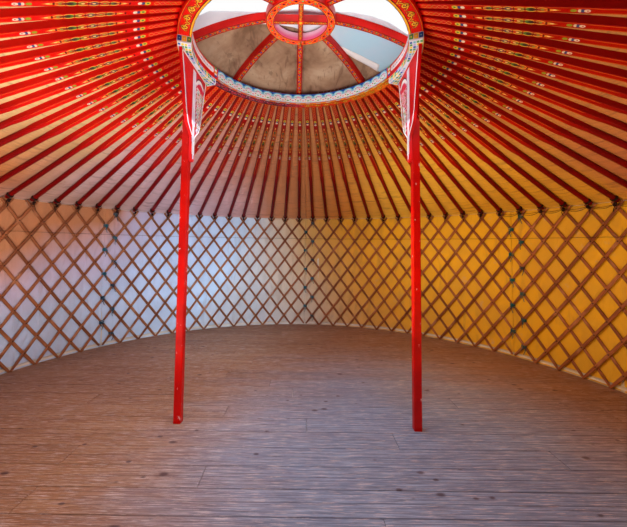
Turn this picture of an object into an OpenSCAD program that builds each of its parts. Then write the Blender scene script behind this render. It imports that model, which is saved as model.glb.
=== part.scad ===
// A felt-covered lattice tent, the yurt or ger: lattice walls, painted roof poles,
// a wooden crown on two posts, canvas covers and a board floor.
// Origin: centre of the floor, at ground level. +Z up, +Y towards the back wall, door on -Y.
// Angles round the tent are measured from the back wall (+Y), growing towards -X.

/* [Floor] */
// Height of the floor above the ground
floor_h = 90; // [60:5:200]
// Thickness of the floor boards
board_t = 26; // [18:1:40]
// Width of a floor joist
joist_w = 60; // [40:5:90]
// Distance between joists
joist_pitch = 450; // [300:25:700]
// Thickness of the rim board round the floor
rim_t = 22; // [15:1:40]

/* [Lattice wall] */
// Radius of the lattice, between its two layers of laths
wall_r = 2700; // [2300:50:3200]
// Height of the crossings that the roof poles rest on, above the floor
wall_h = 1500; // [1200:25:1800]
// Angle that one lattice section spans
section_deg = 57; // [56:0.5:57.5]
// Lattice sections round the tent
sections = 6; // [6:1:6]
// Roof poles carried by one lattice section
heads = 13; // [9:1:16]
// Rows of crossings, an odd number
rows = 11; // [7:2:15]
// Width of a lath
lath_w = 28; // [20:1:40]
// Thickness of a lath
lath_t = 13; // [8:1:20]
// Depth that crossing laths are notched into each other
lath_notch = 1; // [0.5:0.5:3]
// Height of the lath heads above their crossing
head_rise = 62; // [30:1:80]

/* [Roof] */
// Width of the square upper part of a roof pole
pole_w = 42; // [30:1:50]
// Diameter of the round lower part of a roof pole
pole_d = 42; // [28:1:48]
// Length of the round lower part
pole_round_l = 900; // [500:50:1400]
// Side of the square tip that enters the crown
tip_w = 26; // [18:1:32]
// Depth that the tip enters the crown
tip_l = 36; // [20:1:60]
// Poles over the door
door_poles = 3; // [1:1:5]

/* [Crown] */
// Outer radius of the crown ring
ring_r = 793; // [650:10:950]
// Width of the ring
ring_w = 85; // [60:1:120]
// Height of the ring
ring_h = 90; // [70:1:140]
// Height of the underside of the ring, above the floor
ring_z = 2440; // [2250:10:2700]
// Outer radius of the hub
hub_r = 240; // [180:5:300]
// Width of the hub's rim
hub_w = 56; // [35:1:80]
// Height of the hub
hub_h = 64; // [50:1:90]
// Rise of the hub's underside above the ring's top
hub_rise = 160; // [100:5:260]
// Number of curved spokes
spokes = 8; // [4:2:12]
// Width of a spoke
spoke_w = 44; // [30:1:60]
// Height of a spoke
spoke_h = 50; // [35:1:60]
// Turn of the crown against the door axis
crown_turn = 3; // [-20:1:20]

/* [Posts] */
// Side of the square posts
post_w = 50; // [40:1:80]
// Distance of a post's middle from the centre
post_x = 774; // [640:1:880]
// Height of the curved arm between post and ring
arm_h = 46; // [30:1:70]
// Half the angle that the arm spans along the ring
arm_deg = 21; // [19:1:30]
// Half the width of a post's ornamental board at its top
wing_w = 235; // [120:5:250]
// Length of a post's ornamental board, with its tail
wing_l = 670; // [400:10:900]
// Thickness of the ornamental board
wing_t = 20; // [14:1:24]

/* [Door] */
// Outer width of the door frame
frame_w = 830; // [760:5:840]
// Width of the jambs
jamb_w = 62; // [45:1:80]
// Depth of the frame
frame_d = 100; // [80:1:130]
// Height of the sill
sill_h = 70; // [40:1:120]
// Height of the lintel
lintel_h = 80; // [60:1:120]
// Thickness of the door leaf
leaf_t = 38; // [28:1:45]
// Width of the stop that the leaf shuts against
stop_w = 14; // [8:1:25]
// Width of the stiles and rails round the door's panels
stile_w = 88; // [60:1:110]

/* [Covers] */
// Thickness of the wall cover, felt and canvas
wall_cover_t = 22; // [12:1:40]
// Thickness of the roof cover, felt and canvas
roof_cover_t = 26; // [12:1:40]
// Thickness of the canvas of skirt and crown cover
canvas_t = 8; // [4:1:14]
// Drop of the roof cover's skirt below the eave
skirt_l = 90; // [60:5:260]
// Side of the square crown cover
crown_cover_w = 2300; // [1900:50:2800]
// Distance of the crown cover's folded edge in front of the centre
crown_cover_edge = 60; // [0:10:500]
// Turn of the crown cover's folded edge
crown_cover_turn = 5; // [-20:1:20]
// Width of the hem that doubles the folded edge
hem_w = 80; // [40:5:140]
// Height of the upper girth band above the ground
band_upper_z = 1170; // [900:10:1400]
// Height of the lower girth band above the ground
band_lower_z = 600; // [300:10:800]
// Width of a girth band
band_w = 60; // [30:5:120]
// Thickness of a girth band
band_t = 5; // [3:1:10]
// Diameter of the ropes over the roof
rope_d = 12; // [8:1:20]

/* [Clearances] */
// Gap between pieces that rest on each other
seat = 0.3; // [0.1:0.1:1]
// Gap round a tip in its socket
socket_gap = 0.5; // [0.3:0.1:2]
// Gap between neighbouring lattice sections
section_gap = 6; // [2:1:20]
// Gap round the door leaf
leaf_gap = 3; // [2:0.5:6]

/* [Hidden] */
$fn = 240;
eps = 0.01;

lath_brown = "sienna";
paint_red = "firebrick";
canvas_white = "ivory";

// Lattice: one pitch is the angle between two roof poles, one row half a cell high
pitch_deg = section_deg / heads;
row_h = wall_h / rows;
first_deg = -section_deg * sections / 2;
door_deg = 180 - section_deg * sections / 2;
lath_in = wall_r - lath_t;
lath_out = wall_r + lath_t;
head_rows = head_rise / row_h;
lath_lean = atan2(wall_r * pitch_deg * PI / 180, 2 * row_h);
lath_end = 0.35 * lath_w;
lath_reach = 8 * lath_t;

// Roof poles: the axis runs from the crotch of two lath heads to the middle of the ring
ring_mid_z = floor_h + ring_z + ring_h / 2;
crotch_z = floor_h + wall_h + lath_w / 2 / sin(lath_lean);
slope_guess = atan2(ring_mid_z - crotch_z - pole_d / 2, wall_r - ring_r);
pole_reach = lath_out - seat - pole_d / 2 * sin(slope_guess);
pole_foot_z = crotch_z + (pole_d / 2 + seat) / sin(lath_lean) / cos(slope_guess) + lath_t * tan(slope_guess);
pole_slope = atan2(ring_mid_z - pole_foot_z, wall_r - ring_r);
pole_l = (pole_reach - ring_r) / cos(pole_slope);
function axis_z(r) = ring_mid_z - (r - ring_r) * tan(pole_slope);

// Covers: the roof cover lies on the poles, the wall cover reaches up to it
wall_cover_in = lath_out + seat;
wall_cover_out = wall_cover_in + wall_cover_t;
skirt_in = wall_cover_out + seat;
skirt_out = skirt_in + canvas_t;
cover_gap = 3;
roof_cover_in = ring_r + cover_gap;
roof_cover_rise = roof_cover_t / cos(pole_slope);
function roof_under_z(r) = axis_z(r) + (pole_w / 2 + seat) / cos(pole_slope);
function roof_top_z(r) = roof_under_z(r) + roof_cover_rise;
wall_cover_top = roof_under_z(wall_cover_out) - seat;
seam_deg = seat / wall_r * 180 / PI;

// Crown cover: where its dome ends on the ring, and how it bends down to the roof
cover_edge = ring_r - 5;
cover_bend = 60;
cover_drape = 20;

// Crown: spokes follow a dome from the ring's top to the hub
ring_edge = 6;
hub_edge = 5;
hub_bar_w = 34;
hub_bar_inset = 8;
ring_in = ring_r - ring_w;
ring_top = floor_h + ring_z + ring_h;
spoke_foot = ring_r - ring_w / 3;
hub_z = ring_top + hub_rise;
dome_low = ring_top + seat;
dome_high = hub_z + hub_h - spoke_h + 2;
dome_z = ((spoke_foot * spoke_foot + dome_low * dome_low) - (hub_r * hub_r + dome_high * dome_high))
    / (2 * (dome_low - dome_high));
dome_r = sqrt(spoke_foot * spoke_foot + pow(dome_low - dome_z, 2));

// Posts: their heads carry the arms under the ring
post_head = ring_top - ring_h - arm_h - 2 * seat;
post_edge = 5;

// Door: the frame stands within the round of the floor
frame_y = -sqrt(pow(lath_out - 1, 2) - pow(frame_w / 2, 2));
frame_top = axis_z(pole_reach) - pole_d / 2 / cos(pole_slope) - seat;
leaf_w = frame_w - 2 * jamb_w - 2 * leaf_gap;
leaf_z = floor_h + sill_h + leaf_gap;
leaf_h = frame_top - lintel_h - leaf_gap - leaf_z;
panel_sink = 9;
panel_groove = 22;
field_rise = 5;

// Floor
module floor_deck() {
    color("tan")
        translate([0, 0, floor_h - board_t]) cylinder(r = lath_out, h = board_t);
}

module floor_joists() {
    n = floor((lath_out - rim_t - joist_w) / joist_pitch);
    h = floor_h - board_t;
    color("burlywood") for (i = [-n:n]) {
        x = i * joist_pitch;
        half = sqrt(pow(lath_out - rim_t - seat, 2) - pow(abs(x) + joist_w / 2, 2));
        translate([x - joist_w / 2, -half, 0]) cube([joist_w, 2 * half, h]);
    }
}

module floor_rim() {
    h = floor_h - board_t;
    color("burlywood") difference() {
        cylinder(r = lath_out, h = h);
        translate([0, 0, -1]) cylinder(r = lath_out - rim_t, h = h + 2);
    }
}

// A lath lies flat against the cylinder, from row r1 at pitch p1 to row r2 at pitch p2.
// Both ends are rounded.
module lath_bar(p1, r1, p2, r2) {
    half_deg = (p2 - p1) * pitch_deg / 2;
    rise = (r2 - r1) * row_h;
    run = 2 * wall_r * sin(half_deg);
    length = sqrt(run * run + rise * rise);
    rotate([0, 0, (p1 + p2) / 2 * pitch_deg])
        translate([0, wall_r, floor_h + (r1 + r2) / 2 * row_h])
            rotate([0, -atan2(run, rise), 0]) rotate([90, 0, 0])
                linear_extrude(height = lath_reach + 2 * wall_r * (1 - cos(half_deg)), center = true)
                    lath_outline(length);
}

module lath_outline(length) {
    straight = length - lath_w;
    square([lath_w, straight], center = true);
    for (s = [-1, 1]) translate([0, s * straight / 2]) circle(d = lath_w, $fn = 32);
}

// One layer of parallel laths: lean 1 rises towards -X, lean -1 towards +X
module lath_layer(lean, r_in, r_out) {
    edge = (section_gap / 2 + lath_end) / (wall_r * PI / 180) / pitch_deg;
    top = rows + head_rows;
    intersection() {
        difference() {
            translate([0, 0, floor_h]) cylinder(r = r_out, h = (rows + 2) * row_h);
            cylinder(r = r_in, h = floor_h + (rows + 3) * row_h);
        }
        for (j = [-floor(rows / 2):heads - 1]) {
            r1 = max(0, -2 * j + 2 * edge);
            r2 = min(top, 2 * (heads - j) - 2 * edge);
            p1 = j + r1 / 2;
            p2 = j + r2 / 2;
            if (lean > 0) lath_bar(p1, r1, p2, r2);
            else lath_bar(heads - p1, r1, heads - p2, r2);
        }
    }
}

module lattice(section) {
    color(lath_brown) rotate([0, 0, first_deg + section * section_deg]) {
        lath_layer(1, wall_r - lath_notch / 2, lath_out);
        lath_layer(-1, lath_in, wall_r + lath_notch / 2);
    }
}

// Roof poles
module pole() {
    translate([0, pole_reach, axis_z(pole_reach)]) rotate([90 - pole_slope, 0, 0]) {
        cylinder(d = pole_d, h = pole_round_l + eps, $fn = 24);
        translate([-pole_w / 2, -pole_w / 2, pole_round_l])
            cube([pole_w, pole_w, pole_l - pole_round_l - pole_w / 2 * tan(pole_slope) - seat]);
        translate([-tip_w / 2, -tip_w / 2, pole_round_l])
            cube([tip_w, tip_w, pole_l - pole_round_l + tip_l]);
    }
}

module poles(section) {
    color(paint_red) for (i = [0:heads - 1])
        rotate([0, 0, first_deg + section * section_deg + (i + 0.5) * pitch_deg]) pole();
}

module poles_over_door() {
    step = 2 * door_deg / (door_poles + 1);
    color(paint_red) for (i = [1:door_poles])
        rotate([0, 0, 180 - door_deg + i * step]) pole();
}

// Crown
module sockets(angles) {
    for (a = angles) rotate([0, 0, a]) translate([0, ring_r, ring_mid_z]) rotate([90 - pole_slope, 0, 0])
        translate([-tip_w / 2 - socket_gap, -tip_w / 2 - socket_gap, -ring_w / 2])
            cube([tip_w + 2 * socket_gap, tip_w + 2 * socket_gap, ring_w / 2 + tip_l + socket_gap]);
}

// A rectangle of the crown's profiles with bevelled corners
module bevelled(w, h, edge) {
    polygon([
        [edge, 0], [w - edge, 0], [w, edge], [w, h - edge],
        [w - edge, h], [edge, h], [0, h - edge], [0, edge]
    ]);
}

module crown_ring() {
    door_step = 2 * door_deg / (door_poles + 1);
    color(paint_red) difference() {
        rotate_extrude() translate([ring_in, ring_top - ring_h]) bevelled(ring_w, ring_h, ring_edge);
        sockets([for (s = [0:sections - 1]) for (i = [0:heads - 1])
            first_deg + s * section_deg + (i + 0.5) * pitch_deg]);
        sockets([for (i = [1:door_poles]) 180 - door_deg + i * door_step]);
    }
}

module spoke() {
    end_gap = 8;
    rotate([90, 0, 90]) linear_extrude(height = spoke_w, center = true) intersection() {
        translate([0, dome_z]) difference() {
            circle(r = dome_r + spoke_h);
            circle(r = dome_r);
        }
        translate([hub_r + seat, dome_low]) square([spoke_foot + end_gap - hub_r, 2 * hub_rise]);
    }
}

module crown_spokes() {
    color(paint_red) for (i = [0:spokes - 1]) rotate([0, 0, crown_turn + i * 360 / spokes]) spoke();
}

// The hub: a bevelled ring with a cross of two bars
module crown_hub() {
    color(paint_red) translate([0, 0, hub_z]) {
        rotate_extrude() translate([hub_r - hub_w, 0]) bevelled(hub_w, hub_h, hub_edge);
        for (a = [0, 90]) rotate([0, 0, crown_turn + a])
            translate([-hub_bar_w / 2, -hub_r + hub_w / 2, hub_bar_inset])
                cube([hub_bar_w, 2 * hub_r - hub_w, hub_h - 2 * hub_bar_inset]);
    }
}

// Two square posts with bevelled corners stand under the arms
module post(side) {
    color(paint_red) translate([side * post_x - post_w / 2, -post_w / 2, floor_h])
        linear_extrude(height = post_head - floor_h) bevelled(post_w, post_w, post_edge);
}

// The arm follows the ring and carries it
module post_arm(side) {
    color("whitesmoke") translate([0, 0, post_head + seat])
        rotate([0, 0, 90 - side * 90 - arm_deg])
            rotate_extrude(angle = 2 * arm_deg) translate([ring_in, 0]) bevelled(ring_w, arm_h, ring_edge);
}

// Half outline of the ornamental board: shares of its half width and of its length
wing_curve = [
    [1, 0], [0.97, 0.05], [0.86, 0.19], [0.73, 0.36], [0.6, 0.54], [0.46, 0.64], [0.25, 0.7]
];
wing_border = 0.86;
wing_sink = 3;

module wing_outline() {
    tail = post_w / 2 / wing_w;
    half = concat(wing_curve, [[tail, 0.745], [tail, 0.97], [tail / 2, 1]]);
    n = len(half);
    polygon(concat(
        [for (p = half) [p[0] * wing_w, -p[1] * wing_l]],
        [for (i = [n - 1:-1:0]) [-half[i][0] * wing_w, -half[i][1] * wing_l]]
    ));
}

// The board lies on the inner face of the post, with a raised border round a sunk field
module post_wings(side) {
    color("thistle") rotate([0, 0, 90 - side * 90])
        translate([post_x - post_w / 2 - seat - wing_t, 0, post_head]) rotate([90, 0, 90]) difference() {
            linear_extrude(height = wing_t) wing_outline();
            translate([0, -(1 - wing_border) * wing_w / 2, -1]) linear_extrude(height = 1 + wing_sink)
                scale([wing_border, wing_border * 0.94]) wing_outline();
        }
}

// Door
module door_frame() {
    h = frame_top - floor_h;
    inner_w = frame_w - 2 * jamb_w;
    inner_h = h - sill_h - lintel_h;
    color("darkorange") translate([-frame_w / 2, frame_y, floor_h]) difference() {
        cube([frame_w, frame_d, h]);
        translate([jamb_w, -1, sill_h]) cube([inner_w, 1 + leaf_t + 2 * seat, inner_h]);
        translate([jamb_w + stop_w, leaf_t, sill_h + stop_w])
            cube([inner_w - 2 * stop_w, frame_d, inner_h - 2 * stop_w]);
    }
}

// Four panels between the stiles and rails, each smaller by a margin
module door_panels(margin) {
    w = (leaf_w - 3 * stile_w) / 2;
    h = (leaf_h - 3 * stile_w) / 2;
    for (i = [0, 1], j = [0, 1])
        translate([stile_w + i * (w + stile_w) + margin, stile_w + j * (h + stile_w) + margin])
            square([w - 2 * margin, h - 2 * margin]);
}

module door_leaf() {
    color("orangered") translate([-leaf_w / 2, frame_y + leaf_t, leaf_z]) rotate([90, 0, 0]) {
        difference() {
            cube([leaf_w, leaf_h, leaf_t]);
            for (z = [-1, leaf_t - panel_sink]) translate([0, 0, z])
                linear_extrude(height = 1 + panel_sink) door_panels(0);
        }
        translate([0, 0, panel_sink - field_rise])
            linear_extrude(height = leaf_t - 2 * (panel_sink - field_rise)) door_panels(panel_groove);
    }
}

// Covers
module wall_cover(section) {
    color(canvas_white) rotate([0, 0, 90 + first_deg + section * section_deg + seam_deg])
        rotate_extrude(angle = section_deg - 2 * seam_deg) translate([wall_cover_in, 0])
            square([wall_cover_t, wall_cover_top]);
}

module roof_cover(quarter) {
    z_eave = roof_under_z(skirt_in);
    color(canvas_white) rotate([0, 0, quarter * 90 + seam_deg]) rotate_extrude(angle = 90 - 2 * seam_deg)
        polygon([
            [roof_cover_in, roof_under_z(roof_cover_in)],
            [skirt_in, z_eave],
            [skirt_in, z_eave - skirt_l],
            [skirt_out, z_eave - skirt_l],
            [skirt_out, roof_top_z(skirt_out)],
            [roof_cover_in, roof_top_z(roof_cover_in)]
        ]);
}

// Section of the crown cover: over the dome of spokes, then down onto the roof cover
module crown_cover_profile(lift) {
    r = dome_r + spoke_h + 3 * seat + lift;
    turn = asin(cover_edge / r);
    out = crown_cover_w;
    bend = cover_edge + cover_bend;
    base = seat + lift;
    polygon(concat(
        [for (i = [0:10]) [(r + canvas_t) * sin(turn * i / 10), dome_z + (r + canvas_t) * cos(turn * i / 10)]],
        [[bend, roof_top_z(bend) + canvas_t + cover_drape + lift], [out, roof_top_z(out) + canvas_t + base],
         [out, roof_top_z(out) + base], [bend, roof_top_z(bend) + base]],
        [for (i = [10:-1:0]) [r * sin(turn * i / 10), dome_z + r * cos(turn * i / 10)]]
    ));
}

// The square cover is folded back at the front, and the folded edge is doubled by a hem
module crown_cover() {
    half = crown_cover_w / 2;
    color(canvas_white) {
        intersection() {
            rotate_extrude() crown_cover_profile(0);
            rotate([0, 0, crown_cover_turn]) translate([-half, -crown_cover_edge, 0])
                cube([crown_cover_w, half + crown_cover_edge, 2 * ring_top]);
        }
        intersection() {
            rotate_extrude() crown_cover_profile(canvas_t - 1);
            rotate([0, 0, crown_cover_turn]) translate([-half, -crown_cover_edge, 0])
                cube([crown_cover_w, hem_w, 2 * ring_top]);
        }
    }
}

module girth_band(z) {
    rotate([0, 0, 90 + first_deg]) rotate_extrude(angle = section_deg * sections)
        translate([wall_cover_out + seat, z]) square([band_t, band_w]);
}

module girth_band_upper() {
    color("gainsboro") girth_band(band_upper_z);
}

module girth_band_lower() {
    color("gainsboro") girth_band(band_lower_z);
}

// One rope runs from each corner of the crown cover down the roof to the upper girth band
module roof_rope(x, y) {
    lift = rope_d / 2 + seat;
    r0 = sqrt(x * x + y * y) + rope_d;
    z0 = roof_top_z(r0) + lift / cos(pole_slope);
    r1 = skirt_out + lift;
    z1 = z0 - (r1 - r0) * tan(pole_slope);
    rotate([0, 0, crown_cover_turn + atan2(-x, y)]) {
        translate([0, r0, z0]) rotate([-90 - pole_slope, 0, 0])
            cylinder(d = rope_d, h = (r1 - r0) / cos(pole_slope), $fn = 16);
        translate([0, r1, z1]) sphere(d = rope_d + 2, $fn = 16);
        translate([0, r1, band_upper_z]) cylinder(d = rope_d, h = z1 - band_upper_z, $fn = 16);
    }
}

module roof_ropes() {
    half = crown_cover_w / 2;
    color("wheat") for (x = [-half, half], y = [-crown_cover_edge, half]) roof_rope(x, y);
}

floor_deck();
floor_joists();
floor_rim();
lattice(0);  // lattice_front_right
lattice(1);  // lattice_right
lattice(2);  // lattice_back_right
lattice(3);  // lattice_back_left
lattice(4);  // lattice_left
lattice(5);  // lattice_front_left
door_frame();
door_leaf();
crown_ring();
crown_spokes();
crown_hub();
post(-1);  // post_left
post(1);  // post_right
post_arm(-1);  // post_arm_left
post_arm(1);  // post_arm_right
post_wings(-1);  // post_wings_left
post_wings(1);  // post_wings_right
poles(0);  // poles_front_right
poles(1);  // poles_right
poles(2);  // poles_back_right
poles(3);  // poles_back_left
poles(4);  // poles_left
poles(5);  // poles_front_left
poles_over_door();
wall_cover(0);  // wall_cover_front_right
wall_cover(1);  // wall_cover_right
wall_cover(2);  // wall_cover_back_right
wall_cover(3);  // wall_cover_back_left
wall_cover(4);  // wall_cover_left
wall_cover(5);  // wall_cover_front_left
roof_cover(3);  // roof_cover_front_right
roof_cover(0);  // roof_cover_back_right
roof_cover(1);  // roof_cover_back_left
roof_cover(2);  // roof_cover_front_left
crown_cover();
girth_band_upper();
girth_band_lower();
roof_ropes();
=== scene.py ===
import bpy
import bmesh
import math
import numpy as np
from mathutils import Matrix, Vector


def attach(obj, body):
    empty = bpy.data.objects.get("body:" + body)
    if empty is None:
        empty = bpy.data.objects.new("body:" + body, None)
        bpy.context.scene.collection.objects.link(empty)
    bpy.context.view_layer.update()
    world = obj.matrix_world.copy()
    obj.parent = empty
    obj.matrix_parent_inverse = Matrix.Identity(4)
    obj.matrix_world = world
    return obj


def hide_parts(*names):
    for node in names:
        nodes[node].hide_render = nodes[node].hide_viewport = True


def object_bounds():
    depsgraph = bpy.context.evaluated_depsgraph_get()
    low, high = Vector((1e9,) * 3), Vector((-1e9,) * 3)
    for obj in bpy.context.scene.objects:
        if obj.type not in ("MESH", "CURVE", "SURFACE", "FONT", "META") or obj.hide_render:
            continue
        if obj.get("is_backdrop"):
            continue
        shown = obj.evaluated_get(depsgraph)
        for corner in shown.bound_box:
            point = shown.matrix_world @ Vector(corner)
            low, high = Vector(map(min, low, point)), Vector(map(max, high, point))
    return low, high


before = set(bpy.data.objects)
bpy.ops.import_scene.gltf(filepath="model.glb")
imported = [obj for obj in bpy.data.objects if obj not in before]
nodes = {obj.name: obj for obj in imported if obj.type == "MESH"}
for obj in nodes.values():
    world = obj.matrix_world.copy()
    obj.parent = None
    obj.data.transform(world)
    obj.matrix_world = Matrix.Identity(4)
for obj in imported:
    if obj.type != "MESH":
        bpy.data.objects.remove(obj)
cad_box = [[float(x) for x in corner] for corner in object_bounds()]
rng = np.random.default_rng(11)
pi = math.pi

# ---------------------------------------------------------------- sizes, as in part.scad, in metres
FLOOR, WALL_R, WALL_H = .090, 2.700, 1.500
SECTIONS, HEADS, ROWS = 6, 13, 11
SECTION, PITCH = 57., 57. / 13
LATH_W, LATH_T, HEAD_RISE = .028, .013, .062
LATH_IN, LATH_OUT = WALL_R - LATH_T, WALL_R + LATH_T
ROW = WALL_H / ROWS
FIRST = -SECTION * SECTIONS / 2
DOOR_DEG = 180 + FIRST
POLE_W, POLE_D, ROUND_L, TIP_W, TIP_L = .042, .042, .900, .026, .036
RING_R, RING_W, RING_H = .793, .085, .090
RING_IN, RING_TOP = RING_R - RING_W, FLOOR + 2.440 + RING_H
RING_MID = RING_TOP - RING_H / 2
HUB_R, HUB_W, HUB_H, HUB_Z = .240, .056, .064, RING_TOP + .160
SPOKE_H, CROWN_TURN = .050, 3.
SEAT = .0003
COVER_T, ROOF_T, CANVAS_T = .022, .026, .008
LEAN = math.atan2(WALL_R * math.radians(PITCH), 2 * ROW)
CROTCH = FLOOR + WALL_H + LATH_W / 2 / math.sin(LEAN)
GUESS = math.atan2(RING_MID - CROTCH - POLE_D / 2, WALL_R - RING_R)
REACH = LATH_OUT - SEAT - POLE_D / 2 * math.sin(GUESS)
FOOT_Z = CROTCH + (POLE_D / 2 + SEAT) / math.sin(LEAN) / math.cos(GUESS) + LATH_T * math.tan(GUESS)
SLOPE = math.atan2(RING_MID - FOOT_Z, WALL_R - RING_R)
POLE_L = (REACH - RING_R) / math.cos(SLOPE)
SKIRT_IN = LATH_OUT + SEAT + COVER_T + SEAT
SKIRT_OUT = SKIRT_IN + CANVAS_T
# sizes that only the scene has
BOARD_W, BOARD_GAP, BOARD_T, BOARD_TURN, BOARD_FIRST = .160, .003, .026, 2., -.389
BAND_LOW, BAND_H = (.600, 1.170), .060
LINING_T, TAPE_T, OUTER_T = .0012, .0016, .003
ROOF_MEAN_R, CLOTH_STEP = 1.9, 19.
LEAF_W, LEAF_H, LEAF_LOW, LEAF_BAR, LEAF_T, JAMB_X, LINTEL_Z = .700, 1.3877, .163, .088, .038, .384, 1.5937


def axis_z(r):
    """Height of a pole's middle line at radius r."""
    return RING_MID - (r - RING_R) * math.tan(SLOPE)


def under_z(r):
    """Height of the roof cover's underside at radius r, just on the poles."""
    return axis_z(r) + (POLE_W / 2 + SEAT) / math.cos(SLOPE)


def top_z(r):
    """Height of the roof cover's top at radius r."""
    return under_z(r) + ROOF_T / math.cos(SLOPE)


DOME_FOOT, DOME_LOW, DOME_HIGH = RING_R - RING_W / 3, RING_TOP + SEAT, HUB_Z + HUB_H - SPOKE_H + .002
DOME_Z = ((DOME_FOOT ** 2 + DOME_LOW ** 2) - (HUB_R ** 2 + DOME_HIGH ** 2)) / (2 * (DOME_LOW - DOME_HIGH))
DOME_R = math.hypot(DOME_FOOT, DOME_LOW - DOME_Z)
POST_X, POST_W, POST_HEAD = .774, .050, RING_TOP - RING_H - .046 - 2 * SEAT
SECTION_NAMES = ["front_right", "right", "back_right", "back_left", "left", "front_left"]
POLE_ANGLES = [[FIRST + s * SECTION + (i + .5) * PITCH for i in range(HEADS)] for s in range(SECTIONS)]
DOOR_POLES = [180 - DOOR_DEG + i * 2 * DOOR_DEG / 4 for i in (1, 2, 3)]


lin = np.linspace


def around(n):
    """n angles once round."""
    return lin(0, 2 * pi, n, endpoint=False)


def unit(v):
    return v / np.maximum(np.linalg.norm(v, axis=-1, keepdims=True), 1e-12)


def cols(*parts):
    """Points from their coordinates, each an array or one number."""
    return np.stack(np.broadcast_arrays(*parts), -1)


def lengths(path):
    """The way along a path up to each of its points."""
    return np.append(0, np.cumsum(np.linalg.norm(np.diff(path, axis=0), axis=1)))


def spin(points, degrees):
    """Turns points about Z; angles grow from +Y towards -X, as in the CAD."""
    a = np.radians(degrees)
    p = np.asarray(points, float)
    c, s = np.cos(a), np.sin(a)
    return cols(p[..., 0] * c - p[..., 1] * s, p[..., 0] * s + p[..., 1] * c, p[..., 2])


def polar(angle, r, z):
    """Points at an angle in degrees from the back wall, growing towards -X."""
    a = np.radians(angle)
    return cols(-r * np.sin(a), r * np.cos(a), z)


def hash2(i, j, seed):
    """A repeatable value for each point of a grid."""
    x = np.sin(i * 127.1 + j * 311.7 + seed * 74.7) * 43758.5453
    return x - np.floor(x)


def value(x, y, seed=0):
    """Smooth noise from -1 to 1 with a period of one."""
    i, j = np.floor(x), np.floor(y)
    fx, fy = x - i, y - j
    fx, fy = fx * fx * (3 - 2 * fx), fy * fy * (3 - 2 * fy)
    a, b = hash2(i, j, seed), hash2(i + 1, j, seed)
    c, d = hash2(i, j + 1, seed), hash2(i + 1, j + 1, seed)
    return 2 * ((a * (1 - fx) + b * fx) * (1 - fy) + (c * (1 - fx) + d * fx) * fy) - 1


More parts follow.
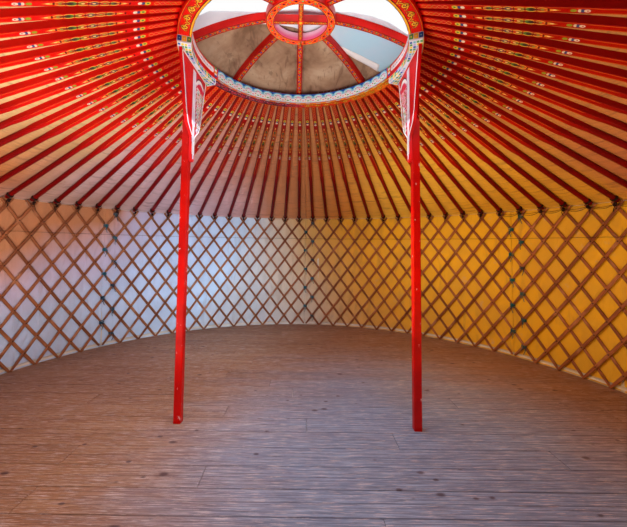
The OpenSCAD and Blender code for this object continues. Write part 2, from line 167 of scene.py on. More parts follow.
# ---------------------------------------------------------------- mesh writing
class Form:
    """Collects tubes, sheets and ribbons, and makes one mesh of them."""

    def __init__(self):
        self.v, self.f, self.uv, self.tone, self.n = [], [], [], [], 0

    def put(self, verts, faces, uv=None, tone=0.):
        verts = np.asarray(verts, float).reshape(-1, 3)
        faces = np.asarray(faces)
        self.v.append(verts)
        self.f.append(faces + self.n)
        self.uv.append(np.zeros(faces.shape + (2,)) if uv is None else uv)
        self.tone.append(np.broadcast_to(np.asarray(tone, float), (len(verts),)))
        self.n += len(verts)

    def tube(self, rings, u=None, v=None, loop=False, tone=0.):
        """Rings of points joined to a closed body, with flat ends unless it is a loop."""
        rings = np.asarray(rings, float)
        n, m = rings.shape[:2]
        i, j = [k.ravel() for k in np.meshgrid(np.arange(n if loop else n - 1), np.arange(m), indexing="ij")]
        i2, j2 = (i + 1) % n, (j + 1) % m
        u = np.arange(n + 1.) if u is None else np.append(u, u[-1])
        v = np.arange(m + 1.) / m if v is None else np.asarray(v, float)
        uv = np.stack([cols(u[a], v[b]) for a, b in ((i, j), (i, j + 1), (i + 1, j + 1), (i + 1, j))], 1)
        self.put(rings, cols(i * m + j, i * m + j2, i2 * m + j2, i2 * m + j), uv, tone)
        if not loop:
            k = np.arange(1, m - 1)
            for ring, tri in ((0, cols(0, k + 1, k)), (n - 1, cols(0, k, k + 1))):
                self.f.append(tri + self.n - n * m + ring * m)
                self.uv.append(np.full(tri.shape + (2,), u[ring]))

    def sheet(self, grid, thick, u, v):
        """A closed thin sheet about a grid of points, (rows, columns, 3). Its other side has tone 1."""
        p = np.asarray(grid, float)
        n, m = p.shape[:2]
        normal = unit(np.cross(np.gradient(p, axis=0), np.gradient(p, axis=1)))
        both = np.stack([p + normal * thick / 2, p - normal * thick / 2])
        row, col = np.arange(n - 1), np.arange(m - 1)
        i, j = [k.ravel() for k in np.meshgrid(row, col, indexing="ij")]
        quad = cols(i * m + j, (i + 1) * m + j, (i + 1) * m + j + 1, i * m + j + 1)
        uv = np.stack([cols(u[a], v[b]) for a, b in ((i, j), (i + 1, j), (i + 1, j + 1), (i, j + 1))], 1)
        faces, uvs = [quad, quad[:, ::-1] + n * m], [uv, uv[:, ::-1]]
        for a, step, flip in ((col, 1, 1), ((n - 1) * m + col, 1, 0), (row * m, m, 0), (row * m + m - 1, m, 1)):
            e = cols(a, a + step, a + step + n * m, a + n * m)
            faces.append(e[:, ::-1] if flip else e)
            uvs.append(np.zeros(e.shape + (2,)))
        self.put(both, np.concatenate(faces), np.concatenate(uvs), np.repeat([0., 1.], n * m))

    def sweep(self, path, profile, up, u=None, loop=False, tone=0.):
        """A closed profile (side, up) along a path. up is one direction or one a point."""
        path, profile = np.asarray(path, float), np.asarray(profile, float)
        t = unit(np.roll(path, -1, 0) - np.roll(path, 1, 0) if loop else np.gradient(path, axis=0))
        side = unit(np.cross(t, np.broadcast_to(np.asarray(up, float), path.shape)))
        up = np.cross(side, t)
        if profile.ndim == 2:
            profile = np.broadcast_to(profile, (len(path),) + profile.shape)
        rings = path[:, None] + side[:, None] * profile[:, :, :1] + up[:, None] * profile[:, :, 1:]
        girth = lengths(np.vstack([profile[0], profile[0, :1]]))
        self.tube(rings, lengths(path) if u is None else u, girth, loop=loop, tone=tone)

    def ribbon(self, pts, width, place, loop=False, t=.0007):
        """A painted line: a thin raised strip along pts on the surface given by place(x, y, h)."""
        pts = np.asarray(pts, float)
        d = unit(np.roll(pts, -1, 0) - np.roll(pts, 1, 0) if loop else np.gradient(pts, axis=0))
        n = cols(-d[:, 1], d[:, 0]) * np.asarray(width, float).reshape(-1, 1) / 2
        a, b = pts + n, pts - n
        rings = [place(a[:, 0], a[:, 1], t), place(b[:, 0], b[:, 1], t), place(pts[:, 0], pts[:, 1], -t)]
        self.tube(np.stack(rings, 1), loop=loop)

    def blob(self, x, y, rx, ry, place, turn=0., n=12, t=.0008):
        """A painted spot, round or drop-shaped."""
        a = around(n)
        px, py, c, s = np.cos(a) * rx, np.sin(a) * ry, math.cos(turn), math.sin(turn)
        ring = place(x + px * c - py * s, y + px * s + py * c, t)
        mid, low = [place(np.array([x]), np.array([y]), h) for h in (t * 1.3, -t)]
        k = np.arange(n)
        tri = np.concatenate([cols(k, (k + 1) % n, n), cols((k + 1) % n, k, n + 1)])
        self.put(np.concatenate([ring, mid, low]), tri)

    def make(self, name, look, slot, smooth=38, fix=True, replaces=()):
        me = bpy.data.meshes.new(name)
        faces = [row for f in self.f for row in f.tolist()]
        me.from_pydata(np.concatenate(self.v).tolist(), [], faces)
        uv = me.uv_layers.new(name="flat")
        uv.data.foreach_set("uv", np.concatenate([a.reshape(-1, 2) for a in self.uv]).ravel().astype(np.float32))
        tone = me.attributes.new("tone", "FLOAT", "POINT")
        tone.data.foreach_set("value", np.concatenate(self.tone).astype(np.float32))
        if fix:
            bm = bmesh.new()
            bm.from_mesh(me)
            bmesh.ops.recalc_face_normals(bm, faces=bm.faces)
            bm.to_mesh(me)
            bm.free()
        me.polygons.foreach_set("use_smooth", np.ones(len(me.polygons), bool))
        if smooth < 180:
            me.set_sharp_from_angle(angle=math.radians(smooth))
        me.materials.append(look)
        me.update()
        o = bpy.data.objects.new(name, me)
        bpy.context.scene.collection.objects.link(o)
        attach(o, "root")
        if replaces:
            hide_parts(*replaces)
        return o


def sheet_piece(name, look, slot, grid, thick, u, v, smooth=180, fix=False, **k):
    """One thin sheet as a piece of its own."""
    form = Form()
    form.sheet(grid, thick, u, v)
    return form.make(name, look, slot, smooth=smooth, fix=fix, **k)


def rounded(w, h, r):
    """Outline of a rectangle with eased corners, centred, counter-clockwise from the right."""
    pts = []
    for sx, sy, first in ((1, 1, 0), (-1, 1, 90), (-1, -1, 180), (1, -1, 270)):
        for a in np.radians((first, first + 90)):
            pts.append((sx * (w / 2 - r) + r * math.cos(a), sy * (h / 2 - r) + r * math.sin(a)))
    return np.array(pts)


def circle(r, n=8):
    return cols(r * np.cos(around(n)), r * np.sin(around(n)))


# ---------------------------------------------------------------- materials
def rgb(r, g, b):
    """A colour as it is read off a picture, made linear."""
    return tuple(((c / 255 + .055) / 1.055) ** 2.4 if c > 10 else c / 3294.6 for c in (r, g, b)) + (1.,)


class Value:
    """A node's number output. + - * / and abs() of it make further nodes."""

    def __init__(self, look, socket):
        self.look, self.socket = look, socket

    def __add__(self, x):
        return self.look.math("ADD", self, x)

    def __radd__(self, x):
        return self.look.math("ADD", x, self)

    def __sub__(self, x):
        return self.look.math("SUBTRACT", self, x)

    def __rsub__(self, x):
        return self.look.math("SUBTRACT", x, self)

    def __mul__(self, x):
        return self.look.math("MULTIPLY", self, x)

    def __rmul__(self, x):
        return self.look.math("MULTIPLY", x, self)

    def __truediv__(self, x):
        return self.look.math("DIVIDE", self, x)

    def __abs__(self):
        return self.look.math("ABSOLUTE", self)


class Nodes:
    """Writes nodes into a material's or the world's tree."""

    def __init__(self, tree):
        self.t, self.height = tree, None

    def put(self, socket, x):
        if isinstance(x, (Value, bpy.types.NodeSocket)):
            self.t.links.new(getattr(x, "socket", x), socket)
        else:
            socket.default_value = x

    def node(self, kind, sockets=None, **attributes):
        n = self.t.nodes.new("ShaderNode" + kind)
        for k, x in attributes.items():
            setattr(n, k, x)
        for k, x in (sockets or {}).items():
            self.put(n.inputs[k], x)
        return n

    def math(self, op, a, b=0., c=0.):
        return Value(self, self.node("Math", {0: a, 1: b, 2: c}, operation=op).outputs[0])

    def where(self, scale=(1, 1, 1), turn=(0, 0, 0), uv=False):
        src = self.node("UVMap", uv_map="flat").outputs[0] if uv else self.node("TexCoord").outputs["Object"]
        return self.node("Mapping", {"Vector": src, "Scale": scale, "Rotation": turn}).outputs[0]

    def split(self, vec):
        return [Value(self, socket) for socket in self.node("SeparateXYZ", {0: vec}).outputs]

    def noise(self, vec, scale, detail=3., rough=.55, bend=0.):
        return Value(self, self.node("TexNoise", {"Vector": vec, "Scale": scale, "Detail": detail,
                                                  "Roughness": rough, "Distortion": bend}).outputs[0])

    def tone(self):
        return Value(self, self.node("Attribute", attribute_name="tone").outputs["Fac"])

    def soft(self, x, low, high, to0=0., to1=1.):
        return Value(self, self.node("MapRange", {0: x, 1: low, 2: high, 3: to0, 4: to1},
                                     interpolation_type="SMOOTHSTEP").outputs[0])

    def ramp(self, fac, *stops):
        n = self.node("ValToRGB", {0: fac})
        e = n.color_ramp.elements
        while len(e) < len(stops):
            e.new(.5)
        for k, (p, c) in enumerate(stops):
            e[k].position, e[k].color = p, c
        return n.outputs[0]

    def mix(self, fac, a, b, blend="MIX"):
        n = self.node("Mix", {0: fac, 6: a, 7: b}, data_type="RGBA", blend_type=blend)
        return n.outputs[2]

    def relief(self, height, depth):
        """Adds a height, in metres, to the bump."""
        h = self.math("MULTIPLY", height, depth)
        self.height = h if self.height is None else self.math("ADD", self.height, h)

    def seen(self):
        """1 for rays from the camera, and for those that reach it by a mirror or through a body."""
        ray = self.node("LightPath").outputs
        return self.math("MAXIMUM", ray["Is Camera Ray"],
                         self.math("MAXIMUM", ray["Is Glossy Ray"], ray["Is Transmission Ray"]))


class Look(Nodes):
    """One material."""

    def __init__(self, name, rough=.6, **sockets):
        self.m = bpy.data.materials.new(name)
        self.m.use_nodes = True
        super().__init__(self.m.node_tree)
        self.b = self.t.nodes["Principled BSDF"]
        self.b.inputs["Roughness"].default_value = rough
        for k, x in sockets.items():
            self.b.inputs[k.replace("_", " ")].default_value = x

    def cover(self, fac, shader):
        """Lays another shader over the material."""
        both = self.node("MixShader", {0: fac, 1: self.b.outputs[0], 2: shader.outputs[0]})
        self.t.links.new(both.outputs[0], self.t.nodes["Material Output"].inputs[0])

    def done(self, colour, rough=None):
        self.put(self.b.inputs["Base Color"], colour)
        if rough is not None:
            self.put(self.b.inputs["Roughness"], rough)
        if self.height is not None:
            self.put(self.b.inputs["Normal"], self.node(
                "Bump", {"Height": self.height, "Distance": 1., "Strength": 1.}).outputs[0])
        return self.m


def painted(name, colour, rough=.42, wear=.5, dark=.72, chips=0., spec=.20):
    """Brushed oil paint on wood: faint strokes, slight fading and a little dirt."""
    k = Look(name, rough, Specular_IOR_Level=spec)
    w = k.where()
    broad = k.noise(w, 6., 3)
    fine = k.noise(k.where((40, 40, 9)), 6., 4, .6)
    dim = tuple(c * dark for c in colour[:3]) + (1.,)
    c = k.mix(k.soft(broad, .35, .75), colour, dim)
    pale = tuple(min(1, .8 * c + .08) for c in colour[:3]) + (1.,)
    c = k.mix(k.soft(fine, .62, .8) * (.35 * wear), c, pale)
    if chips:
        chip = k.noise(k.where((46, 46, 20)), 1., 3, .6)
        c = k.mix(k.soft(chip, .665, .7) * chips, c, rgb(232, 190, 184))
    k.relief(fine, .0006)
    return k.done(c, k.soft(broad, .3, .8, rough - .06, rough + .12))


def timber_look():
    """Plain sawn timber with its grain along Y."""
    k = Look("floor_timber", .62)
    dark = rgb(120, 84, 54)
    grain = k.noise(k.where((60, 3, 60)), 1., 5, .6, .4)
    c = k.ramp(grain, (.3, dark), (.7, rgb(188, 150, 108)))
    c = k.mix(k.soft(k.noise(k.where(), 3., 2), .3, .7) * .35, c, dark)
    k.relief(grain, .0007)
    return k.done(c)


def cloth(name, colour, shade, weave=900., rough=.9, stains=None, uv=True, relief=.0004, sheer=0., tint=None,
          crease=None, fold=(.30, .012, (112, 84, 76)), seam=None, foot=False):
    """Woven cotton canvas: two thread directions, slubs and soft stains. tint gives painted light and shade from place
    to place, crease the scale of its folds, which fold darkens as painted shade, seam the width of its cloths and the
    place of the first one."""
    k = Look(name, rough)
    if tint:
        colour = tint(k)
        shade = k.mix(.16, colour, rgb(110, 96, 92))
    if crease:
        line = k.noise(k.where(crease, uv=True), 1., 3, .55, .8)
        # painted shade: the folds are darkened along their lines in fold's colour
        colour = k.mix(k.soft(line, .5, .72) * fold[0], colour, rgb(*fold[2]))
        k.relief(line, fold[1])
    if seam:
        u, v, _ = k.split(k.where(uv=True))
        d = k.math("FRACT", (v - seam[1]) * (1 / seam[0]) + .5)
        d = abs(d - .5) * seam[0]
        colour = k.mix(k.soft(d, .018, .022, .30, 0.), colour, rgb(176, 164, 140))
        stitch = k.soft(abs(d - .014), .0012, .0018, .8, 0) * k.soft(k.math("SINE", u * 700.), -.3, .1)
        colour = k.mix(stitch, colour, rgb(96, 80, 62))
        if foot:
            low = u + k.noise(k.where(), 5., 4) * .22
            colour = k.mix(k.soft(low, .12, .34, .55, 0.), colour, rgb(160, 144, 118))
    w = k.where(uv=uv)
    x, y, _ = k.split(w)
    a = k.math("SINE", x * weave)
    b = k.math("SINE", y * weave)
    thread = a * b
    slub = k.noise(k.where((30, 400, 30), uv=uv), 1., 3)
    big = k.noise(k.where(), 2.2, 4, .6, .3)
    c = k.mix(k.soft(big, .38, .68), colour, shade)
    c = k.mix(k.soft(slub, .55, .8) * .25, c, shade)
    if stains:
        spots = k.noise(k.where(), 7., 5, .7)
        c = k.mix(k.soft(spots, .6, .78) * .5, c, stains)
    k.relief(thread, relief * .25)
    k.relief(slub, relief)
    m = k.done(c)
    if sheer:
        k.cover(sheer, k.node("BsdfTranslucent", {0: c}))
    return m


RED, DEEP = rgb(214, 18, 8), rgb(150, 12, 14)
GOLD, WHITE, BLUE = rgb(236, 170, 44), rgb(232, 228, 226), rgb(24, 84, 168)
GREEN, PINK, LILAC = rgb(88, 158, 92), rgb(228, 120, 160), rgb(190, 176, 222)
paint = {n: painted("paint_" + n, c) for n, c in dict(
    red=RED, deep=DEEP, gold=GOLD, white=WHITE, blue=BLUE, green=GREEN, pink=PINK, lilac=LILAC,
    orange=rgb(232, 104, 22), dark=rgb(66, 16, 30), sky=rgb(120, 196, 216), rose=rgb(226, 168, 196),
    yellow=rgb(242, 208, 56), berry=rgb(206, 40, 70), cool=rgb(212, 226, 224), plum=rgb(74, 16, 40)).items()}


def floor_look():
    """Worn softwood boards: streaks along the board, knots, and grey wear in the middle and at the right, tinted blue
    as painted daylight.
    """
    k = Look("floor_boards", .58)
    uv = k.where(uv=True)
    tone = k.tone()
    streak = k.noise(k.where((4.5, 110, 1), uv=True), 1., 5, .68, .4)
    fine = k.noise(k.where((20, 520, 1), uv=True), 1., 3, .6)
    pale = k.noise(k.where((9, 300, 1), uv=True), 1., 4, .65)
    ring = k.noise(k.where((1.1, 16, 1), uv=True), 1., 2, .5, 1.2)
    base = k.ramp(streak * .6 + ring * .4,
                  (.30, rgb(98, 64, 44)), (.46, rgb(152, 108, 76)), (.60, rgb(174, 132, 98)), (.78, rgb(208, 176, 148)))
    base = k.mix(k.soft(fine, .5, .68) * .72, base, rgb(78, 50, 42))
    # grey wear towards the middle and the right, tinted blue as painted daylight from the crown
    ox, oy, _ = k.split(k.where())
    dx, dy = ox - .75, oy + .6
    far = k.math("SQRT", dx * dx + dy * dy * .55)
    wear = far + k.noise(k.where((1.2, 5, 1)), 1.3, 4, .6) * .8
    wear = k.soft(wear, .95, 2.3, .92, 0.)
    grey_wear_and_daylight = k.ramp(streak, (.3, rgb(86, 98, 122)), (.52, rgb(128, 150, 184)), (.72, rgb(178, 200, 232)))
    base = k.mix(wear, base, grey_wear_and_daylight)
    # pale streaks along the grain, pale wood and partly a painted highlight of glints on the boards
    base = k.mix(k.soft(pale, .55, .63) * .74, base, rgb(232, 216, 216))
    # fine grooves along each board, dark with dirt
    _, gy, _ = k.split(k.where(turn=(0, 0, math.radians(-BOARD_TURN))))
    g = k.math("FRACT", (gy - BOARD_FIRST) / BOARD_W) * (BOARD_W * 6 / (BOARD_W - BOARD_GAP))
    g = abs(k.math("FRACT", g + .5) - .5)
    base = k.mix(k.soft(g, .04, .12, .34, 0) * k.soft(streak, .35, .6), base, rgb(70, 46, 40))
    # knots
    for size, seed in ((1., 0.), (1.5, 3.7)):
        at = k.node("Mapping",
                    {"Vector": uv, "Scale": (3.4 * size, 5.6 * size, 1), "Location": (seed, seed, 0)}).outputs[0]
        spot = k.node("TexVoronoi", {"Vector": at, "Scale": 1., "Randomness": 1.})
        knot = k.soft(spot.outputs["Distance"] + streak * .06, .07, .14, 1., 0.)
        base = k.mix(knot * .8, base, rgb(62, 38, 48))
    base = k.mix(tone * .16, base, rgb(92, 58, 40))
    k.relief(streak, .0012)
    k.relief(fine, .0006)
    return k.done(base, k.soft(streak, .3, .8, .5, .72))


def lath_look():
    k = Look("lath_wood", .55)
    grain = k.noise(k.where((5, 180, 1), uv=True), 1., 4, .6)
    c = k.ramp(grain, (.3, rgb(126, 70, 38)), (.7, rgb(186, 116, 70)))
    c = k.mix(k.tone() * .6, c, rgb(92, 46, 26))
    worn = k.noise(k.where(), 5., 3)
    c = k.mix(k.soft(worn, .52, .72) * .5, c, rgb(206, 148, 108))
    k.relief(grain, .0006)
    return k.done(c)


def pole_look():
    """Red poles with painted chains, buds and loops on the underside, and painted light and shade by place. u runs from
    the crown, v = -1 to 1 across.
    """
    k = Look("pole_paint", .36, Specular_IOR_Level=.13)
    u, v, _ = k.split(k.where(uv=True))
    av = abs(v)
    soft = k.noise(k.where(), 5., 3)
    stroke = k.noise(k.where((4, 90, 1), uv=True), 1., 3)
    low = k.soft(u, .85, 1.45)
    px, py, _ = k.split(k.where())
    # painted light and shade: they are brighter at the left and darker at the right, and deep red with a little plum in
    # painted shade at the back
    back = k.soft(py, .25, 1.1) * k.soft(abs(px + .1), .5, 1.7, 1., 0)
    c = k.mix(k.soft(px, .2, 1.3), k.mix(k.soft(px, -.3, -1.3), RED, rgb(238, 14, 4)), rgb(178, 8, 4))
    c = k.mix(back * .7, c, rgb(112, 12, 20))
    c = k.mix(low, c, k.mix(k.soft(px, -1.2, -1.9), rgb(108, 5, 12), rgb(116, 6, 8)))
    # the poles' sides are plain and darker than the underside, as painted shade that is deeper at the right
    side = k.soft(av, .98, 1.02) * k.soft(px, -.2, -1.2, .5, .22)
    c = k.mix(side, c, rgb(112, 6, 12))
    c = k.mix(k.soft(soft, .4, .7) * .3, c, rgb(158, 10, 10))
    c = k.mix(k.soft(stroke, .6, .8) * .2, c, rgb(226, 52, 26))

    def band(x, a, b, s=.002):
        return k.soft(x, a - s, a + s) * k.soft(x, b - s, b + s, 1., 0)

    def spot(cu, hu, hv):
        p, q = (u - cu) / hu, v / hv
        return k.soft(p * p + q * q, .8, 1.1, 1., 0.)

    # the main chain: joined lenses between two pointed ends
    a0, a1, n = .300, .672, 8
    p = (a1 - a0) / n
    phase = (u - a0) / p
    lens = abs(k.math("SINE", phase * pi))
    env = k.soft(u, a0 - .012, a0 + .1) * k.soft(u, a1 - .09, a1 + .012, 1., 0)
    h = (lens * .4 + .5) * env
    inside = k.soft(h - av, -.04, .04) * band(u, a0, a1)
    core = k.soft(h - av, .2, .28) * band(u, a0, a1)
    # the chain's gold is duller at the back, as painted shade
    c = k.mix(inside, c, k.mix(back, rgb(240, 184, 70), rgb(206, 136, 44)))
    fill = k.ramp(phase / n, (0., rgb(232, 92, 24)), (.12, rgb(206, 26, 14)), (.22, rgb(60, 110, 70)),
                  (.31, rgb(214, 60, 24)), (.43, rgb(40, 70, 90)), (.52, rgb(206, 30, 14)), (.63, rgb(86, 140, 60)),
                  (.72, rgb(60, 30, 40)), (.84, rgb(214, 70, 24)), (.95, rgb(232, 110, 24)))
    c = k.mix(core, c, fill)
    for i in range(n):
        c = k.mix(spot(a0 + (i + .5) * p, .008, .22), c,
                  (rgb(250, 214, 130), rgb(60, 16, 40), rgb(120, 170, 80), rgb(250, 214, 130))[i % 4])
        c = k.mix(spot(a0 + i * p, .005, .5), c, rgb(110, 14, 20))
    # small loops next to the crown
    b0, b1, m = .030, .178, 5
    q = (u - b0) / ((b1 - b0) / m)
    wave = abs(k.math("SINE", q * pi))
    line = abs(av - wave * .62)
    c = k.mix(k.soft(line, .05, .13, .85, 0) * band(u, b0, b1), c,
              k.ramp(q / m, (0., rgb(226, 150, 50)), (.4, rgb(150, 150, 60)), (.7, rgb(226, 140, 90)),
                     (1., rgb(230, 170, 70))))
    c = k.mix(k.soft(abs(av - .9), .02, .06, .8, 0) * band(u, .19, .8, .01), c, rgb(216, 110, 34))
    # buds between the loops and the chain, and below the chain
    for cu, hu, hv, col in ((.212, .017, .66, rgb(214, 190, 60)), (.210, .007, .3, rgb(60, 120, 60)),
                            (.234, .009, .60, rgb(40, 70, 120)), (.251, .011, .56, rgb(232, 216, 190)),
                            (.716, .012, .5, rgb(150, 160, 44)), (.738, .007, .56, rgb(228, 212, 190)),
                            (.749, .007, .60, rgb(54, 76, 130)), (.764, .012, .48, rgb(232, 216, 196)),
                            (.766, .004, .2, rgb(200, 60, 60))):
        c = k.mix(spot(cu, hu, hv), c, col)
    # painted shade in dark plum over the lower lengths at the back
    c = k.mix(back * k.soft(u, .8, 1.2, .32, .2), c, rgb(66, 20, 24))
    # fine yellow lines that run out towards the foot
    tail = band(u, .79, 1.08, .02) * k.soft(abs(av - .72), .05, .11, 1., 0)
    c = k.mix(tail * .75, c, rgb(232, 120, 40))
    k.relief(stroke, .0004)
    return k.done(c, k.soft(soft, .3, .8, .30, .46))


look_floor, look_lath, look_pole = floor_look(), lath_look(), pole_look()
look_timber = timber_look()


def spread_x(k, rise, *stops):
    """Colours by x from left to right; rise makes the higher parts take the colours nearer the ends."""
    x, _, z = k.split(k.where())
    slant = (z - 1.) * k.soft(x, -2., .6, -1.6 * rise, rise)
    x = x + (k.noise(k.where(), .8, 2) - .5) * .9
    x = x + slant
    return k.ramp((x + 2.8) * (1 / 5.6), *[((a + 2.8) / 5.6, rgb(*c)) for a, c in stops])


def roof_painted_light(k):
    """Painted light and shade by place: lavender and rose at the back left, brown in shade in the middle, gold lamp
    light at the right; cream and brown along the front.
    """
    back = spread_x(k, 0., (-2.3, (206, 170, 160)), (-1.7, (224, 194, 206)), (-1., (226, 176, 174)),
                    (-.4, (216, 146, 108)),
                    (.5, (222, 152, 78)), (1.1, (236, 196, 84)), (2., (228, 178, 56)))
    front = spread_x(k, 0., (-2.5, (190, 112, 58)), (-2.1, (208, 144, 90)), (-1.6, (234, 216, 156)),
                     (0., (222, 170, 120)),
                     (1.4, (208, 146, 80)), (2.3, (190, 120, 84)))
    return k.mix(k.soft(k.split(k.where())[1] + k.noise(k.where(), 1.3, 2), .6, 1.5), front, back)


def wall_painted_light(k):
    """Painted light on white: a cool cast of daylight at the left and in the middle, gold lamp light at the right."""
    return spread_x(k, .55, (-2.78, (208, 142, 96)), (-2.5, (204, 196, 224)), (-2.1, (200, 220, 252)),
                    (-1., (208, 230, 252)), (-.4, (224, 210, 190)), (.2, (230, 186, 112)),
                    (.9, (234, 180, 62)), (1.8, (238, 188, 44)))


# the roof lining's colour by place is painted light and shade, and its creases take a dark brown painted shade
look_lining = cloth("roof_lining", None, None, weave=1300., stains=rgb(168, 124, 96), tint=roof_painted_light,
                    crease=(11, 3.4, 1), fold=(.46, .014, (112, 76, 66)))
# the wall lining's colour by place is painted light, and its creases are darkened as painted shade
look_wall = cloth("wall_lining", None, None, weave=1300., stains=rgb(190, 176, 176), tint=wall_painted_light, crease=(2.4, 8, 1))
# the outer canvas's folds are darkened as painted shade
canvas = dict(weave=1100., stains=rgb(196, 184, 162), relief=.0006, fold=(.24, .022, (150, 138, 120)))
look_canvas = cloth("outer_canvas", rgb(226, 221, 208), rgb(212, 204, 188), crease=(1.0, 5.5, 1), foot=True,
                    seam=(math.radians(CLOTH_STEP) * (SKIRT_IN - SEAT),
                          math.radians(FIRST + CLOTH_STEP / 2) * (SKIRT_IN - SEAT)), **canvas)
look_roof = cloth("roof_canvas", rgb(226, 221, 208), rgb(212, 204, 188), crease=(.8, 4.5, 1),
                  seam=(math.radians(30) * ROOF_MEAN_R, 0.), **canvas)
# the front edge of the felt inside the crown cover, as x and y
FELT = [(-.8, .01), (-.3, .07), (-.05, .15), (.227, .304), (.424, .386), (.625, .434), (.8, .46)]
TAPE = [(.2, .268), (.225, .275), (.376, .321), (.538, .354), (.682, .365), (.8, .37)]


def crown_look():
    """White canvas outside; inside white cloth in front with a painted blue cast of daylight, and brown felt behind a
    slanting line with painted shade in its creases.
    """
    k = Look("crown_canvas", .9)
    x, y, _ = k.split(k.where())
    line = k.ramp((x + .8) * (1 / 1.6), *[((a + .8) / 1.6, (b, b, b, 1)) for a, b in FELT])
    felt = k.soft(y - line, -.002, .002)
    patch = k.noise(k.where(), 3.1, 4, .6, .5)
    fine = k.noise(k.where((1, 1, 1)), 26., 4, .6)
    crease = k.noise(k.where((9, 2.2, 1), (0, 0, .5)), 1.6, 3, .6, 1.5)
    brown = k.ramp(patch, (.32, rgb(104, 78, 58)), (.46, rgb(134, 106, 84)), (.56, rgb(152, 126, 102)),
                   (.7, rgb(172, 150, 126)))
    brown = k.mix(k.soft(fine, .5, .75) * .35, brown, rgb(100, 74, 56))
    # painted shade along the felt's creases
    brown = k.mix(k.soft(crease, .56, .66) * .45, brown, rgb(82, 58, 46))
    # painted daylight: a cool sky-blue cast on the white cloth at the right
    sky = k.soft(x, .16, .3) * k.soft(y - x * .05, 0, .03)
    front = k.mix(sky, rgb(218, 224, 236), rgb(172, 206, 226))
    front = k.mix(k.soft(patch, .45, .7) * .4, front, rgb(202, 202, 220))
    under = k.mix(felt, front, brown)
    top = k.mix(k.soft(patch, .35, .65), rgb(230, 224, 210), rgb(210, 200, 182))
    c = k.mix(k.soft(k.tone(), .3, .7), under, top)
    ux, uy, _ = k.split(k.where(uv=True))
    thread = k.math("SINE", ux * 1200.) * k.math("SINE", uy * 1200.)
    k.relief(thread, .0001)
    k.relief(fine, .0012)
    m = k.done(c)
    k.cover((1. - felt) * .35, k.node("BsdfTranslucent", {0: c}))
    return m


look_crown = crown_look()
look_hem = cloth("white_hem", rgb(236, 234, 232), rgb(214, 212, 214), weave=1200., sheer=.2)
look_rope = cloth("rope_fibre", rgb(206, 184, 146), rgb(150, 124, 88), weave=2400., uv=False, relief=.001)
look_cord = cloth("lashing_cord", rgb(30, 104, 122), rgb(16, 54, 76), weave=2400., uv=False)
look_tape = cloth("canvas_tape", rgb(232, 226, 212), rgb(214, 205, 188), weave=1100., stains=rgb(190, 176, 150))


def band_look():
    """A woven girth band: pale ground, dark edge stripes and a row of lozenges."""
    k = Look("woven_band", .9)
    u, v, _ = k.split(k.where(uv=True))
    y = v - .0331
    ay = abs(y)
    saw = abs(k.math("FRACT", u * (1 / .048)) - .5)
    lozenge = ay * (1 / .034) + saw
    c = k.mix(k.soft(lozenge, .44, .47, 1., 0.), rgb(216, 206, 188), rgb(134, 60, 44))
    c = k.mix(k.soft(lozenge, .22, .25, 1., 0.), c, rgb(224, 214, 196))
    c = k.mix(k.soft(ay, .0195, .02) * k.soft(ay, .0235, .024, 1., 0), c, rgb(60, 78, 112))
    rib = k.math("SINE", u * 1500.)
    slub = k.noise(k.where((60, 600, 1), uv=True), 1., 3)
    c = k.mix(k.soft(slub, .5, .8) * .35, c, rgb(150, 134, 112))
    k.relief(rib, .0002)
    k.relief(slub, .0005)
    return k.done(c)


look_band = band_look()
look_knot = painted("leather_knots", rgb(44, 30, 28), .7)


def iron_look():
    k = Look("forged_iron", .5, Metallic=.85)
    n = k.noise(k.where(), 60., 4, .6)
    k.relief(n, .0004)
    return k.done(k.mix(k.soft(n, .35, .7), rgb(58, 56, 58), rgb(96, 84, 76)), k.soft(n, .3, .7, .4, .65))


look_iron = iron_look()


# ---------------------------------------------------------------- camera
camera = bpy.data.cameras.new("camera")
camera.sensor_fit, camera.sensor_width, camera.lens = "HORIZONTAL", 36., 18.72
camera.shift_x, camera.shift_y = .0219, -.0574
camera.clip_start = .02
eye = bpy.data.objects.new("camera", camera)
yaw, tip, roll = -.0372, .0545, .0114
f0, up = Vector((math.sin(yaw), math.cos(yaw), 0)), Vector((0, 0, 1))
across = Vector((math.cos(yaw), -math.sin(yaw), 0))
ahead = math.cos(tip) * f0 + math.sin(tip) * up
above = -math.sin(tip) * f0 + math.cos(tip) * up
cam_x = math.cos(roll) * across + math.sin(roll) * above
cam_y = -math.sin(roll) * across + math.cos(roll) * above
turn = Matrix((cam_x, cam_y, -ahead)).transposed().to_4x4()
eye.matrix_world = Matrix.Translation((.0905, -2.1713, 1.2537)) @ turn
bpy.context.scene.collection.objects.link(eye)
bpy.context.scene.camera = eye


# ---------------------------------------------------------------- light
def lamp(name, at, towards, size, power, colour=(1, 1, 1), spread=180):
    """A round area lamp that itself isn't seen."""
    light = bpy.data.lights.new(name, "AREA")
    light.shape, light.size, light.energy, light.color = "DISK", size, power, colour
    light.spread = math.radians(spread)
    o = bpy.data.objects.new(name, light)
    aim = (Vector(towards) - Vector(at)).to_track_quat("-Z", "Y")
    o.matrix_world = Matrix.Translation(at) @ aim.to_matrix().to_4x4()
    bpy.context.scene.collection.objects.link(o)
    o.visible_camera = False
    o.visible_glossy = False


